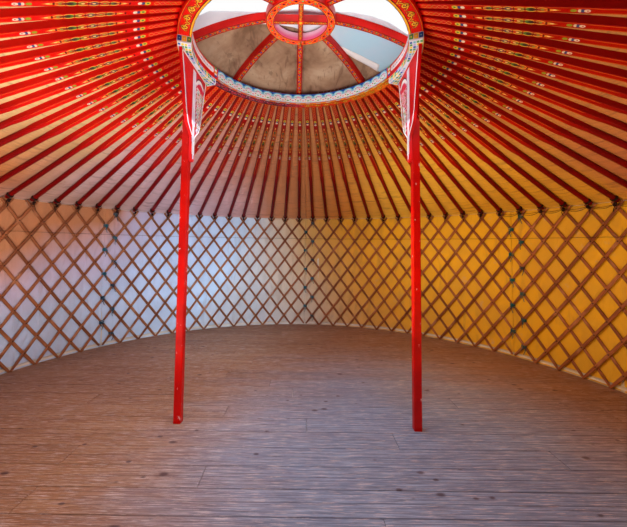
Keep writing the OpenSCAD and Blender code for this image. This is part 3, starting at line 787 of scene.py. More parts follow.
lamp("inside_up", (-.1, -.8, .11), (-.1, -.8, 3), 3.4, 11, (.97, .97, 1))
lamp("inside_front", (-.4, -2.0, 1.2), (-.5, 1.4, .2), 1.1, 2.9, (.80, .91, 1), 70)
lamp("inside_down", (-.1, -.2, 2.1), (-.1, -.2, 0), 2.2, 28, (.82, .91, 1))
lamp("inside_left", (.2, -.5, 1.2), (-2.7, .9, 1.1), 1.2, 7, (.76, .88, 1), 125)
lamp("inside_right", (.2, .1, 1.1), (2.4, 1.2, 1.2), .9, 9, (1, .50, .05), 125)
lamp("inside_crown", (0, -.1, 1.95), (0, 0, 3), .6, 8, (.98, .98, 1))
lamp("inside_roof_left", (-1.45, -1.0, .4), (-1.6, -.7, 2.3), 1.2, 38, (1, .88, .74))
lamp("inside_roof_right", (1.5, -.9, .4), (1.7, -.5, 2.3), 1.1, 14, (1, .58, .16))
lamp("inside_back", (-.5, .6, .9), (-1.3, 2.5, .78), 1.0, 6.5, (.45, .74, 1), 100)
lamp("inside_glow", (1.05, 1.25, 1.05), (1.25, 1.75, 2.1), .3, 2.4, (1, .74, .26))
lamp("outside_key", (-7, -9, 9), (0, 0, 1.2), 6, 900)
lamp("outside_fill", (9, 5, 7), (0, 0, 1.2), 6, 420)

scene = bpy.context.scene
scene.view_settings.view_transform = "Standard"
scene.world = bpy.data.worlds.new("world")
scene.world.use_nodes = True
sky = Nodes(scene.world.node_tree)
back = sky.t.nodes["Background"]
sky.put(back.inputs["Color"], (1, 1, 1, 1))
sky.put(back.inputs["Strength"], sky.node("MapRange", {0: sky.seen(), 3: .62, 4: 1.}).outputs[0])

# plain pale ground, not part of the yurt
me = bpy.data.meshes.new("ground")
me.from_pydata([(-30, -30, 0), (30, -30, 0), (30, 30, 0), (-30, 30, 0)], [], [(0, 1, 2, 3)])
ground = bpy.data.objects.new("ground", me)
scene.collection.objects.link(ground)
g = Look("ground", .9)
me.materials.append(g.done(g.mix(g.soft(g.noise(g.where(), 2., 2), .3, .7), rgb(232, 231, 229), rgb(236, 235, 233))))
# further off it runs into the white background
gx, gy, _ = g.split(g.where())
away = g.soft(g.math("SQRT", gx * gx + gy * gy), 4.5, 13.)
g.cover(away * g.seen(), g.node("Emission", {"Color": (1, 1, 1, 1), "Strength": 1.}))
ground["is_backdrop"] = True


# ---------------------------------------------------------------- floor boards
def floor_boards():
    """Grooved boards at a slight turn to the door axis, cut round at the wall."""
    form = Form()
    rim = LATH_OUT - .0005
    for k in range(-15, 20):
        y0 = BOARD_FIRST + k * BOARD_W
        y1 = y0 + BOARD_W - BOARD_GAP
        if y0 > rim - .01 or y1 < -rim + .01:
            continue
        # the section: eased edges and five grooves, the middle one deep
        ys, zs = [y0, y0 + .002], [-.003, 0.]
        for g in range(1, 6):
            c = y0 + g * (BOARD_W - BOARD_GAP) / 6
            deep, half = (.0032, .0024) if g == 3 else (.0008, .0016)
            ys += [c - half, c, c + half]
            zs += [0, -deep, 0]
        ys = np.clip(ys + [y1 - .002, y1, y1, y0], -rim + .0005, rim - .0005)
        zs = np.array(zs + [0, -.003, -BOARD_T, -BOARD_T])
        end = np.sqrt(np.maximum(rim ** 2 - ys ** 2, 0))
        cuts, x = [-9.], -2.7 + rng.uniform(.4, 3.4)
        while x < 2.4:
            cuts.append(x)
            x += rng.choice([2.7, 3.3, 3.9])
        for a, b in zip(cuts, cuts[1:] + [9.]):
            xa, xb = np.clip(a + .0012, -end, end), np.clip(b - .0012, -end, end)
            if (xb - xa).max() < .03:
                continue
            xb = np.maximum(xb, xa + .0005)
            lift = rng.uniform(-.0006, 0)
            rings = np.array([cols(xa + (xb - xa) * f, ys,
                                   np.where(zs > -BOARD_T, zs - sink + FLOOR - .0002 + lift, FLOOR - BOARD_T))
                              for f, sink in ((0, .0018), (.006, 0), (.5, 0), (.994, 0), (1, .0018))])
            shift = rng.uniform(0, 60)
            form.tube(spin(rings, BOARD_TURN), rings[:, 0, 0] + shift, np.append(ys, ys[0]) + k * .01 + shift,
                      tone=rng.uniform(0, 1) ** 2)
    form.make("floor_boards", look_floor, "floor_boards", smooth=20, replaces=["floor_deck"])


floor_boards()


# ---------------------------------------------------------------- lattice
def lath_path(p1, r1, p2, r2, radius, n=16):
    """A lath's middle line round the wall, from pitch p1 and row r1 to p2 and r2."""
    rise, run = (r2 - r1) * ROW, 2 * WALL_R * math.sin(math.radians((p2 - p1) * PITCH / 2))
    length = math.hypot(run, rise)
    f = lin(-.5, .5, n) * (length - .004) / length
    x, z = -f * run, FLOOR + (r1 + r2) / 2 * ROW + f * rise
    return spin(cols(x, np.sqrt(radius ** 2 - x ** 2), z), (p1 + p2) / 2 * PITCH)


def lattices():
    """Six lattice sections of crossed laths, knotted with rawhide."""
    top = ROWS + HEAD_RISE / ROW
    edge = (.006 / 2 + .35 * LATH_W) / (WALL_R * pi / 180) / PITCH
    taper = np.ones(16)
    taper[[0, -1]] = .72
    section = rounded(LATH_W, LATH_T - .0016, .004)[None] * cols(taper, 1.)[:, None]
    for s, name in enumerate(SECTION_NAMES):
        form, knots, a0 = Form(), Form(), FIRST + s * SECTION
        for lean, radius in ((1, WALL_R + LATH_T / 2 - .0002), (-1, WALL_R - LATH_T / 2 + .0002)):
            for j in range(-(ROWS // 2), HEADS):
                r1, r2 = max(0, -2 * j + 2 * edge), min(top, 2 * (HEADS - j) - 2 * edge)
                p1, p2 = j + r1 / 2, j + r2 / 2
                if lean < 0:
                    p1, p2 = HEADS - p1, HEADS - p2
                path = spin(lath_path(p1, r1, p2, r2, radius), a0)
                u = lengths(path) + rng.uniform(0, 40)
                form.sweep(path, section, path * [1, 1, 0], u=u, tone=rng.uniform(0, 1) ** 1.5)
        # a knot of rawhide at every crossing
        for row in range(1, ROWS + 1):
            for p in np.arange(HEADS + 1) + row % 2 / 2:
                if .1 <= p <= HEADS - .1:
                    a = a0 + p * PITCH
                    c = polar(a, LATH_IN - .0006, FLOOR + row * ROW)
                    knots.tube([spin(cols(o[:, 0], -d, o[:, 1]), a) + c
                                for d, o in ((0, circle(.0058, 7)), (.0016, circle(.0056, 7)),
                                             (.0032, circle(.0030, 7)))])
        node = "lattice_" + name
        form.make(node + "_laths", look_lath, "lattice_wood", smooth=50, replaces=[node])
        knots.make(node + "_knots", look_knot, "lattice_wood", fix=False)


lattices()


# ---------------------------------------------------------------- roof poles
def pole_ring(k, half, round_r):
    """A pole's section, 16 points from the underside's left corner: k = 0 is round, 1 square with eased corners."""
    side = cols([-half + .0028, -half / 3, half / 3, half - .0028], -half)
    square = np.concatenate([side @ np.array([[math.cos(t), math.sin(t)], [-math.sin(t), math.cos(t)]])
                             for t in (0, pi / 2, pi, 3 * pi / 2)])
    a = np.radians(-135 + 11.25 + np.arange(16) * 22.5)
    return square * k + round_r * cols(np.cos(a), np.sin(a)) * (1 - k)


def on_pole(x, y, z):
    """Places a point of a pole that stands at angle 0: z along it from its foot, y to its upper side."""
    c, s = math.sin(SLOPE), math.cos(SLOPE)
    return cols(x, REACH + y * c - z * s, axis_z(REACH) + y * s + z * c)


def poles(name, angles, node):
    """Roof poles at these angles, square, with a round lower end and a thin tip in the ring."""
    form = Form()
    # v: -1 to 1 across the underside, further on the sides and the top
    v = np.concatenate([np.array([-.9, -.33, .33, .9]) + 2 * q for q in range(4)] + [[7.1]])
    stations = [(0, 0, .90), (.010, 0, .98), (.03, 0, 1), (.30, 0, 1), (.62, 0, 1), (ROUND_L - .02, 0, 1),
                (ROUND_L + .03, .55, 1),
                (ROUND_L + .09, 1, 1), (1.3, 1, 1), (1.7, 1, 1), (POLE_L - .012, 1, 1)]
    rings = [pole_ring(k, POLE_W / 2 - .0002, POLE_D / 2 - .0002) * size for _, k, size in stations]
    rings = np.array(rings + 2 * [pole_ring(1, TIP_W / 2, TIP_W / 2)])
    z = np.array([row[0] for row in stations] + [POLE_L - .010, POLE_L + TIP_L - .002])
    u = np.append(POLE_L - z[:-1], -.03)
    for a in angles:
        # a small turn of the ornament from pole to pole
        form.tube(spin(on_pole(rings[..., 0], rings[..., 1], z[:, None]), a), u + rng.uniform(-.006, .006), v)
    form.make(name, look_pole, "pole_paint", smooth=30, replaces=[node])


for name, angles in zip(SECTION_NAMES, POLE_ANGLES):
    poles("painted_poles_" + name, angles, "poles_" + name)
poles("painted_poles_over_door", DOOR_POLES, "poles_over_door")


# ---------------------------------------------------------------- cloths of roof and wall
ALL_POLES = np.sort(np.array([a % 360 for row in POLE_ANGLES for a in row] + DOOR_POLES))
QUARTERS = ["back_left", "front_left", "front_right", "back_right"]
ROOF_TOP_R = lin(RING_R + .004, SKIRT_OUT, 34)


def near_pole(angles):
    """0 on a pole, 1 halfway to the next."""
    d = np.abs((np.asarray(angles)[..., None] - ALL_POLES + 180) % 360 - 180).min(-1)
    return np.clip(d / (PITCH / 2), 0, 1)


def roof_cloths(q):
    """Lining and canvas over one quarter of the roof."""
    name, a0 = QUARTERS[q], q * 90
    # the lining hangs a little between the poles
    a, r = lin(a0 + .02, a0 + 89.98, 160), lin(RING_R + .004, SKIRT_IN - .003, 40)
    A, R = np.meshgrid(a, r)
    loose, gap = np.clip((R - .9) / 1.3, 0, 1), near_pole(A)
    creases = value(A / 1.7, R * 6, 3) + .6 * value(A / .8 + R * 5, R * 13, 5)
    drop = np.sin(gap * pi / 2) * (.004 + .010 * loose) + gap * .0035 * creases * (.4 + loose)
    lining = sheet_piece("roof_lining_" + name, look_lining, "roof_canvas",
                         polar(A, R, under_z(R) - .0012 - np.clip(drop, 0, .019)),
                         LINING_T, r * 3.1, np.radians(a) * ROOF_MEAN_R)

    # the canvas lies on the felt, turns in at the crown and hangs down over the eave
    a = lin(a0 + .02, a0 + 89.98, 130)
    eave, low = top_z(SKIRT_OUT), under_z(SKIRT_IN) - .090
    stations = [(RING_R + .0045, under_z(RING_R) + .001), (RING_R + .0045, under_z(RING_R) + .014)]
    stations += [(x, top_z(x) - .0018) for x in ROOF_TOP_R[:-1]]
    stations += [(SKIRT_OUT - .0035, eave - .005), (SKIRT_OUT - .0018, eave - .016)]
    st = np.array(stations + [(SKIRT_OUT - .0018, z) for z in lin(eave - .03, low + .002, 7)])
    R, A = np.meshgrid(st[:, 0], a, indexing="ij")
    Z = np.repeat(st[:, 1:], len(a), 1)
    flat, hang = np.zeros((2, len(st), 1))
    flat[3:1 + len(ROOF_TOP_R)] = 1
    hang[-7:, 0] = lin(.1, 1, 7)
    ripple = value(A / 3.1, R * 3, 7) + .6 * value(A / 1.4 + R * 2, R * 7, 9) + .35 * value(A / .7, R * 11, 2)
    sink = .003 * near_pole(A) * (R > 1) + .0028 * np.clip(ripple + .3, 0, 2)
    at_seam = np.abs((A % 30 + 15) % 30 - 15) < .55
    Z = Z - flat * np.clip(np.where(at_seam, sink * .3 - .0012, sink), -.0012, .010)
    R = R - hang * .0042 * (.5 + .5 * value(A / 2.3, Z * 3, 13)) + hang * .0006
    canvas = sheet_piece("roof_canvas_" + name, look_roof, "roof_canvas", polar(A, R, Z), OUTER_T, lengths(st),
                         np.radians(a) * ROOF_MEAN_R, smooth=60, replaces=["roof_cover_" + name])
    # hem of the skirt, sewn on, and a flap over the joint of two quarters
    a = lin(a0 + .1, a0 + 89.9, 150)
    r = SKIRT_OUT + .0010 - .0042 * (.5 + .5 * value(a / 2.3, low * 3, 13)) + .0006
    hem = sheet_piece("roof_hem_" + name, look_tape, "roof_canvas",
                      [polar(a, r, low + z) for z in (.003, .012, .024, .034)],
                      TAPE_T, np.arange(4) * .01, np.radians(a) * ROOF_MEAN_R)
    edge = np.array([cols(side, st[2:, 0], st[2:, 1] + .0028) for side in lin(-.035, .035, 5)])
    edge[:, -8:] += [0, .0022, -.002]
    flap = sheet_piece("roof_flap_" + name, look_tape, "roof_canvas", spin(edge, a0), TAPE_T, np.arange(5) * .018,
                       lengths(st)[2:], smooth=60, fix=True)


def wall_cloths(s):
    """Lining and canvas round one section of the wall."""
    name, a0 = SECTION_NAMES[s], FIRST + s * SECTION
    top = under_z(SKIRT_IN) - .012
    # the lining, whose far edge passes behind the next one
    lap = .5 if s < SECTIONS - 1 else -.02
    a = lin(a0 + .02, a0 + SECTION + lap, 100)
    z = np.concatenate([[.092, .10, .12], lin(.16, 1.60, 34), [1.625, top - .004]])
    A, Z = np.meshgrid(a, z)
    fold = value(A / 2.6, Z * 1.4, 21) + .6 * value(A / 1.2, Z * 2.6 + A / 9, 23) + .3 * value(A / .6, Z * 7, 25)
    edge = np.clip(np.minimum(A - a0, a0 + SECTION - A) / 1.5, 0, 1)
    R = LATH_OUT + .0049 + .0016 * np.clip(fold, -1.2, 1.4) * edge
    R = R + .0022 * np.clip((A - a0 - SECTION + .5) / .4, 0, 1) * (lap > 0)
    lining = sheet_piece("wall_lining_" + name, look_wall, "wall_canvas", polar(A, R, Z), LINING_T, z,
                         np.radians(a) * LATH_OUT)
    foot = lin(a0 + .05, a0 + SECTION - .05, 100)
    r = np.interp(foot, a, R[np.abs(z - .118).argmin()]) - .0016
    tape = sheet_piece("wall_lining_tape_" + name, look_tape, "wall_canvas",
                       [polar(foot, r, .118 + k * .015) for k in (-1, 0, 1)],
                       LINING_T, np.arange(3) * .015, np.radians(foot) * LATH_OUT)
    "lattice_" + name + "_laths"

    # outer canvas with upright folds, pressed in under the girth bands
    a = lin(a0 + .03, a0 + SECTION - .03, 128)
    z = np.unique(np.concatenate([lin(.004, .05, 4), lin(.09, .56, 10), [.57, .60, .63],
                                  lin(.67, 1.10, 9), [1.14, 1.17, 1.20], lin(1.24, 1.60, 8), [1.64, top]]))
    A, Z = np.meshgrid(a, z)
    out = SKIRT_IN - SEAT
    tight = np.min([np.clip(np.abs(Z - low - BAND_H / 2) / .12, 0, 1) for low in BAND_LOW], 0)
    fold = .5 + .5 * value(A / 1.9 + .25 * Z, Z * .7, 31) + .25 * value(A / .8, Z * 2, 33)
    deep = (.004 + .010 * np.clip(fold, 0, 1.2)) * np.where(tight < 1, .25 + .75 * tight, 1)
    at_seam = np.abs((A - a0) % CLOTH_STEP - CLOTH_STEP / 2) < .5
    R = out - .0018 - deep + .0042 * (Z < .055) + .0016 * at_seam
    canvas = sheet_piece("wall_canvas_" + name, look_canvas, "wall_canvas", polar(A, R, Z), OUTER_T, z,
                         np.radians(a) * out,
                         smooth=60, replaces=["wall_cover_" + name])
    # a sewn strip at the joints, and one turned in at the cut edge beside the door
    bits = Form()
    z = lin(.01, 1.56, 60)
    for e in [a0 + .3, a0 + SECTION - .3] if s in (0, 5) else [a0 + SECTION - .3]:
        bits.sheet([polar(e + math.degrees(w / out), out - .0012 + .0012 * value(z * 3, w * 9, 41),
                          z) for w in lin(-.030, .030, 5)],
                   TAPE_T, np.arange(5) * .015, z)
    if s in (0, 5):
        e = a0 + .02 if s == 0 else a0 + SECTION - .02
        z = lin(.01, 1.60, 40)
        bits.sheet([polar(e, r, z) for r in lin(LATH_OUT + .002, out - .004, 4)], .002, np.arange(4) * .007, z)
    seams = bits.make("wall_seams_" + name, look_tape, "wall_canvas", smooth=60)
    "wall_lining_" + name


for q in range(4):
    roof_cloths(q)
for s in range(SECTIONS):
    wall_cloths(s)


# ---------------------------------------------------------------- crown cover
COVER_W, COVER_EDGE, COVER_TURN, HEM = 2.300, .060, 5., .080
DOME_OUT = DOME_R + SPOKE_H + 3 * SEAT


def cover_z(x, y):
    """Underside of the crown cover over a point in plan."""
    r = np.hypot(x, y)
    a = np.degrees(np.arctan2(-x, y))
    lip, bend = RING_R - .005, RING_R + .055
    dome = DOME_Z + np.sqrt(DOME_OUT ** 2 - np.minimum(r, lip) ** 2)
    between = np.abs((a - CROWN_TURN + 22.5) % 45 - 22.5) / 22.5
    sag = .013 * np.sin(np.clip(between, 0, 1) * pi / 2) ** 2 * np.clip((r - .22) / .35, 0, 1)
    pleat = .0035 * np.clip((r - .45) / .3, 0,
                            1) * between * (value(a / 3.1, r * 4, 51) + .6 * value(a / 1.3, r * 6, 53))
    dome = dome - np.clip(sag + pleat, 0, .02)
    f = np.clip((r - lip) / (bend - lip), 0, 1)
    low = top_z(np.maximum(r, bend)) + SEAT + .001 + .0035 * (1 + value(x * 5, y * 5, 55))
    edge_z = DOME_Z + math.sqrt(DOME_OUT ** 2 - lip ** 2)
    drape = edge_z + (top_z(bend) + .004 - edge_z) * np.sin(f * pi / 2) ** 1.4 + .006 * np.sin(f * pi)
    return np.where(r < lip, dome, np.where(f < 1, drape, low))


def crown_cover():
    """The square canvas over the crown, folded back at its front edge, with tape and corner patches."""
    half, t = COVER_W / 2, math.radians(COVER_TURN)

    def turned(x, y):
        return x * math.cos(t) - y * math.sin(t), x * math.sin(t) + y * math.cos(t)

    x = np.unique(np.concatenate([lin(-half, -.86, 14), lin(-.86, .86, 110), lin(.86, half, 14)]))
    y = np.concatenate([lin(-COVER_EDGE + HEM, -COVER_EDGE + .006, 7), [-COVER_EDGE],
                        lin(-COVER_EDGE + .004, .86, 66), lin(.885, half, 12)])
    layer = np.concatenate([np.full(7, .0062), [.0038], [.0018], np.full(65 + 12, .0012)])
    X, Y = np.meshgrid(x, y)
    wx = X + .004 * value(X * 3, 7.3, 61) * (Y < -.05)
    # the folded edge isn't straight: it lags at the left and bows forward beside the hub
    warp = np.interp(X, [-.86, -.593, -.465, -.343, -.266, 0, .255, .335, .481, .604, .714, .86],
                     [-.03, -.075, -.011, .035, .055, .042, .024, -.002, -.024, -.024, .003, 0])
    wy = Y + (warp + .004 * value(X * 2.3, 2.1, 63)) * np.clip(1 - (Y + COVER_EDGE) / .4, 0, 1)
    px, py = turned(wx, wy)
    cover = sheet_piece("crown_canvas", look_crown, "crown_canvas",
                        cols(px, py, cover_z(px, py) + layer[:, None] + .0018),
                        .0024, np.append(0, np.cumsum(np.abs(np.diff(y)))), x, smooth=60, replaces=["crown_cover"])
    # white tape along the inner felt's edge, seen right of the hub
    x = lin(.205, .70, 30)
    upper, lower = [np.interp(x, *np.array(line).T) for line in (FELT, TAPE)]
    rows = np.array([cols(x, y, cover_z(x, y) - .0012) for y in [upper + (lower - upper) * f for f in lin(-.1, 1, 4)]])
    keep = np.hypot(rows[0, :, 0], rows[0, :, 1]) < .765
    tape = sheet_piece("crown_tape", look_hem, "crown_canvas", rows[:, keep], .0014, np.arange(4) * .015, x[keep],
                       fix=True)
    # corner patches with a loop for each rope
    patch = Form()
    for sx in (-1, 1):
        for cy, sy in ((-COVER_EDGE, -1), (half, 1)):
            g = []
            for i in lin(0, 1, 9)[:-1]:
                x, y = turned(sx * (half - .012 - lin(0, 1, 9) * (1 - i) * .16), cy - sy * (.012 + i * .16))
                g.append(cols(x, y, cover_z(x, y) + (.0105 if cy < 0 and i < .5 else .0062)))
            patch.sheet(g, TAPE_T, np.arange(8) * .02, np.arange(9) * .02)
    patches = patch.make("crown_patches", look_tape, "crown_canvas", smooth=60)


crown_cover()


# ---------------------------------------------------------------- ropes, bands and lashings
def rope(form, path, radius, lay=.055, strands=3):
    """A laid rope: a three-lobed section that turns along its path."""
    path = np.asarray(path, float)
    s = lengths(path)
    n = max(8, int(s[-1] / (lay / 7)))
    q = lin(0, s[-1], n)
    p = np.stack([np.interp(q, s, path[:, k]) for k in range(3)], 1)
    t = np.gradient(p, axis=0)
    t /= np.linalg.norm(t, axis=1, keepdims=True)
    ref = np.where(np.abs(t[:, 2:]) < .9, [[0., 0., 1.]], [[1., 0., 0.]])
    side = np.cross(t, ref)
    side /= np.linalg.norm(side, axis=1, keepdims=True)
    up = np.cross(side, t)
    a = around(12)
    w = a[None, :] + q[:, None] / lay * 2 * pi
    r = radius * (1 - .26 * np.abs(np.sin(strands * a / 2 + pi / 2)) ** 2)
    rings = p[:, None] + side[:, None] * (r * np.cos(w))[..., None] + up[:, None] * (r * np.sin(w))[..., None]
    form.tube(rings, q)


def ropes():
    """Laid ropes over the roof, knotted to the girth."""
    form, knots = Form(), Form()
    half, t, lift = COVER_W / 2, COVER_TURN, .0063
    for x in (-half, half):
        for y in (-COVER_EDGE, half):
            r0 = math.hypot(x, y) + .012
            angle = t + math.degrees(math.atan2(-x, y))
            r1 = SKIRT_OUT + lift
            rise = lift / math.cos(SLOPE)
            z0, z1 = top_z(r0) + rise, top_z(r0) + rise - (r1 - r0) * math.tan(SLOPE)
            pts = [(0, r0 - .01, z0 + .001), (0, r0 + .3, top_z(r0 + .3) + rise)]
            pts += [(0, r, top_z(r) + rise) for r in lin(r0 + .4, r1 - .02, 12)]
            pts += [(0, r1 - .004, z1 - .004), (0, r1, z1 - .02)]
            pts += [(0, r1, z) for z in lin(z1 - .05, 1.21, 8)] + [(0, r1 - .001, 1.178)]
            rope(form, spin(np.array(pts), angle), .0058)
            # a hitch round the band, and an eye at the cover's corner
            u = lin(0, 2 * pi * 2.6, 44)
            hitch = cols(.013 * np.cos(u), r1 + .0015 + .0042 * np.sin(u), 1.186 - .0042 * u / (2 * pi) * 2.2)
            rope(knots, spin(hitch, angle), .0042, .03)
            u = lin(0, 2 * pi, 26)
            eye = cols(.02 * np.sin(u), r0 - .022 + .024 * np.cos(u), top_z(r0) + .0145 - .01 * np.cos(u))
            rope(knots, spin(eye, angle), .0042, .03)
            end = cols(.004 * np.sin(lin(0, 3, 10)) + .012, r1, lin(1.18, 1.02, 10))
            rope(knots, spin(end, angle), .0046, .04)
    form.make("laid_ropes", look_rope, "rope", smooth=50, replaces=["roof_ropes"])
    knots.make("rope_knots", look_rope, "rope", smooth=50)


def girth(name, z):
    """A woven band, with a slightly raised edge, ending beside the door."""
    form = Form()
    a, r = lin(FIRST, -FIRST, 300), SKIRT_IN + .0025
    half = [(.0006, .0305), (.0024, .027), (.0014, .024)]
    prof = np.array([(-.0022, -.030)] + [(x, -y) for x, y in half] + half[::-1] + [(-.0022, .030)])
    wave = .0012 * value(a / 4., z, 71)
    rings = np.stack([polar(a, r + x, z + BAND_H / 2 + y + wave) for x, y in prof], 1)
    form.tube(rings, np.radians(a) * r, lengths(np.vstack([prof, prof[:1]])))
    form.make("woven_" + name, look_band, "webbing", smooth=50, replaces=[name])


def lashings():
    """Cords round the joints of the lattices and at the poles' feet, and the line along them."""
    cord, feet, line = Form(), Form(), Form()
    for s in range(1, SECTIONS):
        for row in range(1, ROWS + 1):
            a = FIRST + s * SECTION - (PITCH / 2 if row % 2 else 0)
            u = lin(0, 2 * pi * 4, 44)
            x = .023 * np.cos(u) + rng.uniform(-.002, .002)
            d = np.minimum(WALL_R - (LATH_T + .0034) * np.sin(u), LATH_OUT + .0006)
            z = FLOOR + row * ROW + .0074 * (u / (2 * pi) - 2) + .004 * np.sin(u * .5 + row)
            p = cols(x, d, z)
            cord.sweep(spin(p, a), circle(.0042, 6), (0, 0, 1))
            for k, long in enumerate((.082, .046)):
                end = cols(.008 - .014 * k + .013 * np.sin(lin(0, 2.6, 8) + row * (1 + k)), LATH_IN - .0062,
                           FLOOR + row * ROW - lin(.008, long, 8))
                cord.sweep(spin(end, a), circle(.0030, 6), spin(np.array([[1., 0., 0.]]), a)[0])
    knot_z = axis_z(REACH) - POLE_D / 2 - .012
    for k, a in enumerate(ALL_POLES):
        # a cord ties each pole's foot to the lath heads under it, with a thick knot
        for off in (.036, .0435, .051):
            u = around(12)
            rr = POLE_W / 2 + .0032
            p = on_pole(rr * np.cos(u), rr * np.sin(u), off + .002 * np.sin(u + k))
            feet.sweep(spin(p, a), circle(.0038, 5), spin(np.array([[0., -math.cos(SLOPE), math.sin(SLOPE)]]), a)[0],
                       loop=True)
        u = lin(0, 2 * pi * 3, 28)
        ball = cols(.0125 * np.sin(u) * np.cos(u * .31 + k), LATH_IN - .014 + .0075 * np.cos(u),
                    knot_z + .013 * np.sin(u * .66 + k * 1.3))
        feet.sweep(spin(ball, a), circle(.0056, 5), (0, 0, 1))
        u = lin(0, 1, 7)
        side = .012 * (-1) ** k
        hang = cols(side + .006 * np.sin(u * 5 + k), LATH_IN - .006 - .004 * np.sin(u * pi), knot_z - u * .06)
        feet.sweep(spin(hang, a), circle(.0030, 5), spin(np.array([[1., 0., 0.]]), a)[0])
    # thin cords run from knot to knot at the right
    for turn_, low in ((0, .016), (1, .034)):
        f = np.arange(0, 13.001, .125)
        a = FIRST + SECTION + (f + .5) * PITCH
        z = knot_z + .004 - low * np.abs(np.sin(f * pi)) ** .8 + .004 * value(f * 1.3, turn_ * 3.1, 77)
        feet.sweep(polar(a, LATH_IN - .009 - .004 * turn_, z), circle(.0021, 5), (0, 0, 1))
    a = lin(FIRST + .4, -FIRST - .4, 240)
    z = FLOOR + 1.265 - .004 * np.abs(np.sin(np.radians(a - FIRST) / math.radians(PITCH) * pi))
    line.sweep(polar(a, LATH_IN - .0052, z), circle(.0018, 6), (0, 0, 1))
    cord.make("section_lashings", look_cord, "lattice_wood", smooth=60)
    feet.make("pole_foot_cords", look_knot, "lattice_wood", smooth=60)
    line.make("lattice_cord", look_knot, "lattice_wood", smooth=60)


ropes()
girth("girth_band_upper", BAND_LOW[1])
girth("girth_band_lower", BAND_LOW[0])
lashings()


# ---------------------------------------------------------------- painted ornament
class Paints:
    """Painted lines and spots, collected by colour."""

    def __init__(self):
        self.forms = {}

    def line(self, colour, pts, width, place, **k):
        self.forms.setdefault(colour, Form()).ribbon(pts, width, place, **k)

    def spot(self, colour, x, y, rx, ry, place, **k):
        self.forms.setdefault(colour, Form()).blob(x, y, rx, ry, place, **k)

    def make(self, prefix, slot):
        for colour, form in self.forms.items():
            form.make(prefix + "_" + colour, paint[colour], slot, smooth=25)


def spiral(cx, cy, r, turns=1.4, start=0., hand=1, n=18, inner=.16):
    """A scroll about (cx, cy)."""
    f = lin(0, 1, n)
    a = np.radians(start) + hand * 2 * pi * turns * f
    rr = r * (1 - (1 - inner) * f ** .8)
    return cols(cx + rr * np.cos(a), cy + rr * np.sin(a))


def tapered(n, w, tail=.35):
    """Widths of a brush stroke, thin at its tail."""
    return w * (tail + (1 - tail) * np.sin(lin(.12, 1, n) * pi) ** .6)


def straight(x0, y0, x1, y1, n=2):
    """n points from one point to another."""
    f = lin(0, 1, n)
    return cols(x0 + (x1 - x0) * f, y0 + (y1 - y0) * f)


def scroll_group(p, place, w, h, main="gold", second="orange", dots=("green", "white")):
    """A pair of facing scrolls with leaves and dark outlines, w long and h high, centred on 0, 0."""
    def bold(colour, pts, width):
        p.line("dark", pts, width + .0050, place, t=.0005)
        p.line(colour, pts, width, place, t=.0010)

    for m in (-1, 1):
        s = spiral(0, 0, h * .34, 1.35, 95, -1) * [m, 1] + [m * w * .24, h * .02]
        bold(main, s, tapered(len(s), h * .14))
        f = lin(0, 1, 12)
        stem = cols(m * w * (.245 - .245 * f), h * (.36 * np.cos(f * pi) ** 3))
        bold(main, stem, h * .09)
        out = cols(m * w * (.25 + .22 * f), h * (.36 - .5 * f ** 1.5))
        bold(main, out, tapered(12, h * .105))
        curl = spiral(0, 0, h * .13, 1.1, 60, -1, 12) * [m, 1] + [m * w * .415, -h * .16]
        bold(second, curl, tapered(len(curl), h * .08))
        p.spot(second, m * w * .12, h * .20, h * .09, h * .045, place, turn=m * .7)
        p.spot(second, m * w * .13, -h * .30, h * .09, h * .045, place, turn=-m * .6)
        p.spot(dots[0], m * w * .24, h * .02, h * .055, h * .055, place)
    p.spot(dots[1], 0, 0, h * .05, h * .12, place)
    p.spot(second, 0, -h * .34, h * .05, h * .08, place)


def chain(p, place, x0, x1, amp, pitch, w, first="gold", second="orange", dots=("green", "white")):
    """Two crossing waves with a dot in each loop."""
    n = max(2, int(round((x1 - x0) / pitch)))
    f = lin(0, 1, n * 8 + 1)
    x = x0 + (x1 - x0) * f
    y = amp * np.sin(f * n * pi)
    p.line(first, cols(x, y), w, place)
    p.line(second, cols(x, -y), w, place, t=.0011)
    for i in range(n):
        c = x0 + (x1 - x0) * (i + .5) / n
        p.spot(dots[i % 2], c, 0, pitch * .20, amp * .42, place, n=8)
        if i:
            k = x0 + (x1 - x0) * i / n
            for m in (-1, 1):
                p.spot(second, k, m * amp * .78, pitch * .10, amp * .20, place, n=6)


def on_ring_inner(a0):
    """Place on the ring's inner face: x along it, y up."""
    return lambda x, y, h: polar(a0 + np.degrees(x / RING_IN), RING_IN - h, RING_TOP - RING_H + y)


def on_ring_under(a0):
    """Place on the ring's underside: x along it, y outward."""
    mid = RING_R - RING_W / 2
    return lambda x, y, h: polar(a0 + np.degrees(x / mid), mid + y, RING_TOP - RING_H - h)


def on_hub_under(a0, mid=HUB_R - HUB_W / 2):
    """Place on the hub's underside: x along it, y outward."""
    return lambda x, y, h: polar(a0 + np.degrees(x / mid), mid + y, HUB_Z - h)


def on_bar(turn_):
    """Place on the underside of a bar of the hub."""
    def place(x, y, h):
        x, y, h = np.broadcast_arrays(x, y, h)
        return spin(cols(y, x, HUB_Z + .008 - h), CROWN_TURN + turn_)
    return place


def on_spoke(a):
    """Place on the underside of a spoke, from the hub outward."""
    start = math.asin(HUB_R / DOME_R)

    def place(x, y, h):
        x, y, h = np.broadcast_arrays(x, y, h)
        t = start + x / DOME_R
        return spin(cols(y, (DOME_R - h) * np.sin(t), DOME_Z + (DOME_R - h) * np.cos(t)), a)
    return place


ARM_DEG, ARM_LOW = 21., POST_HEAD + SEAT


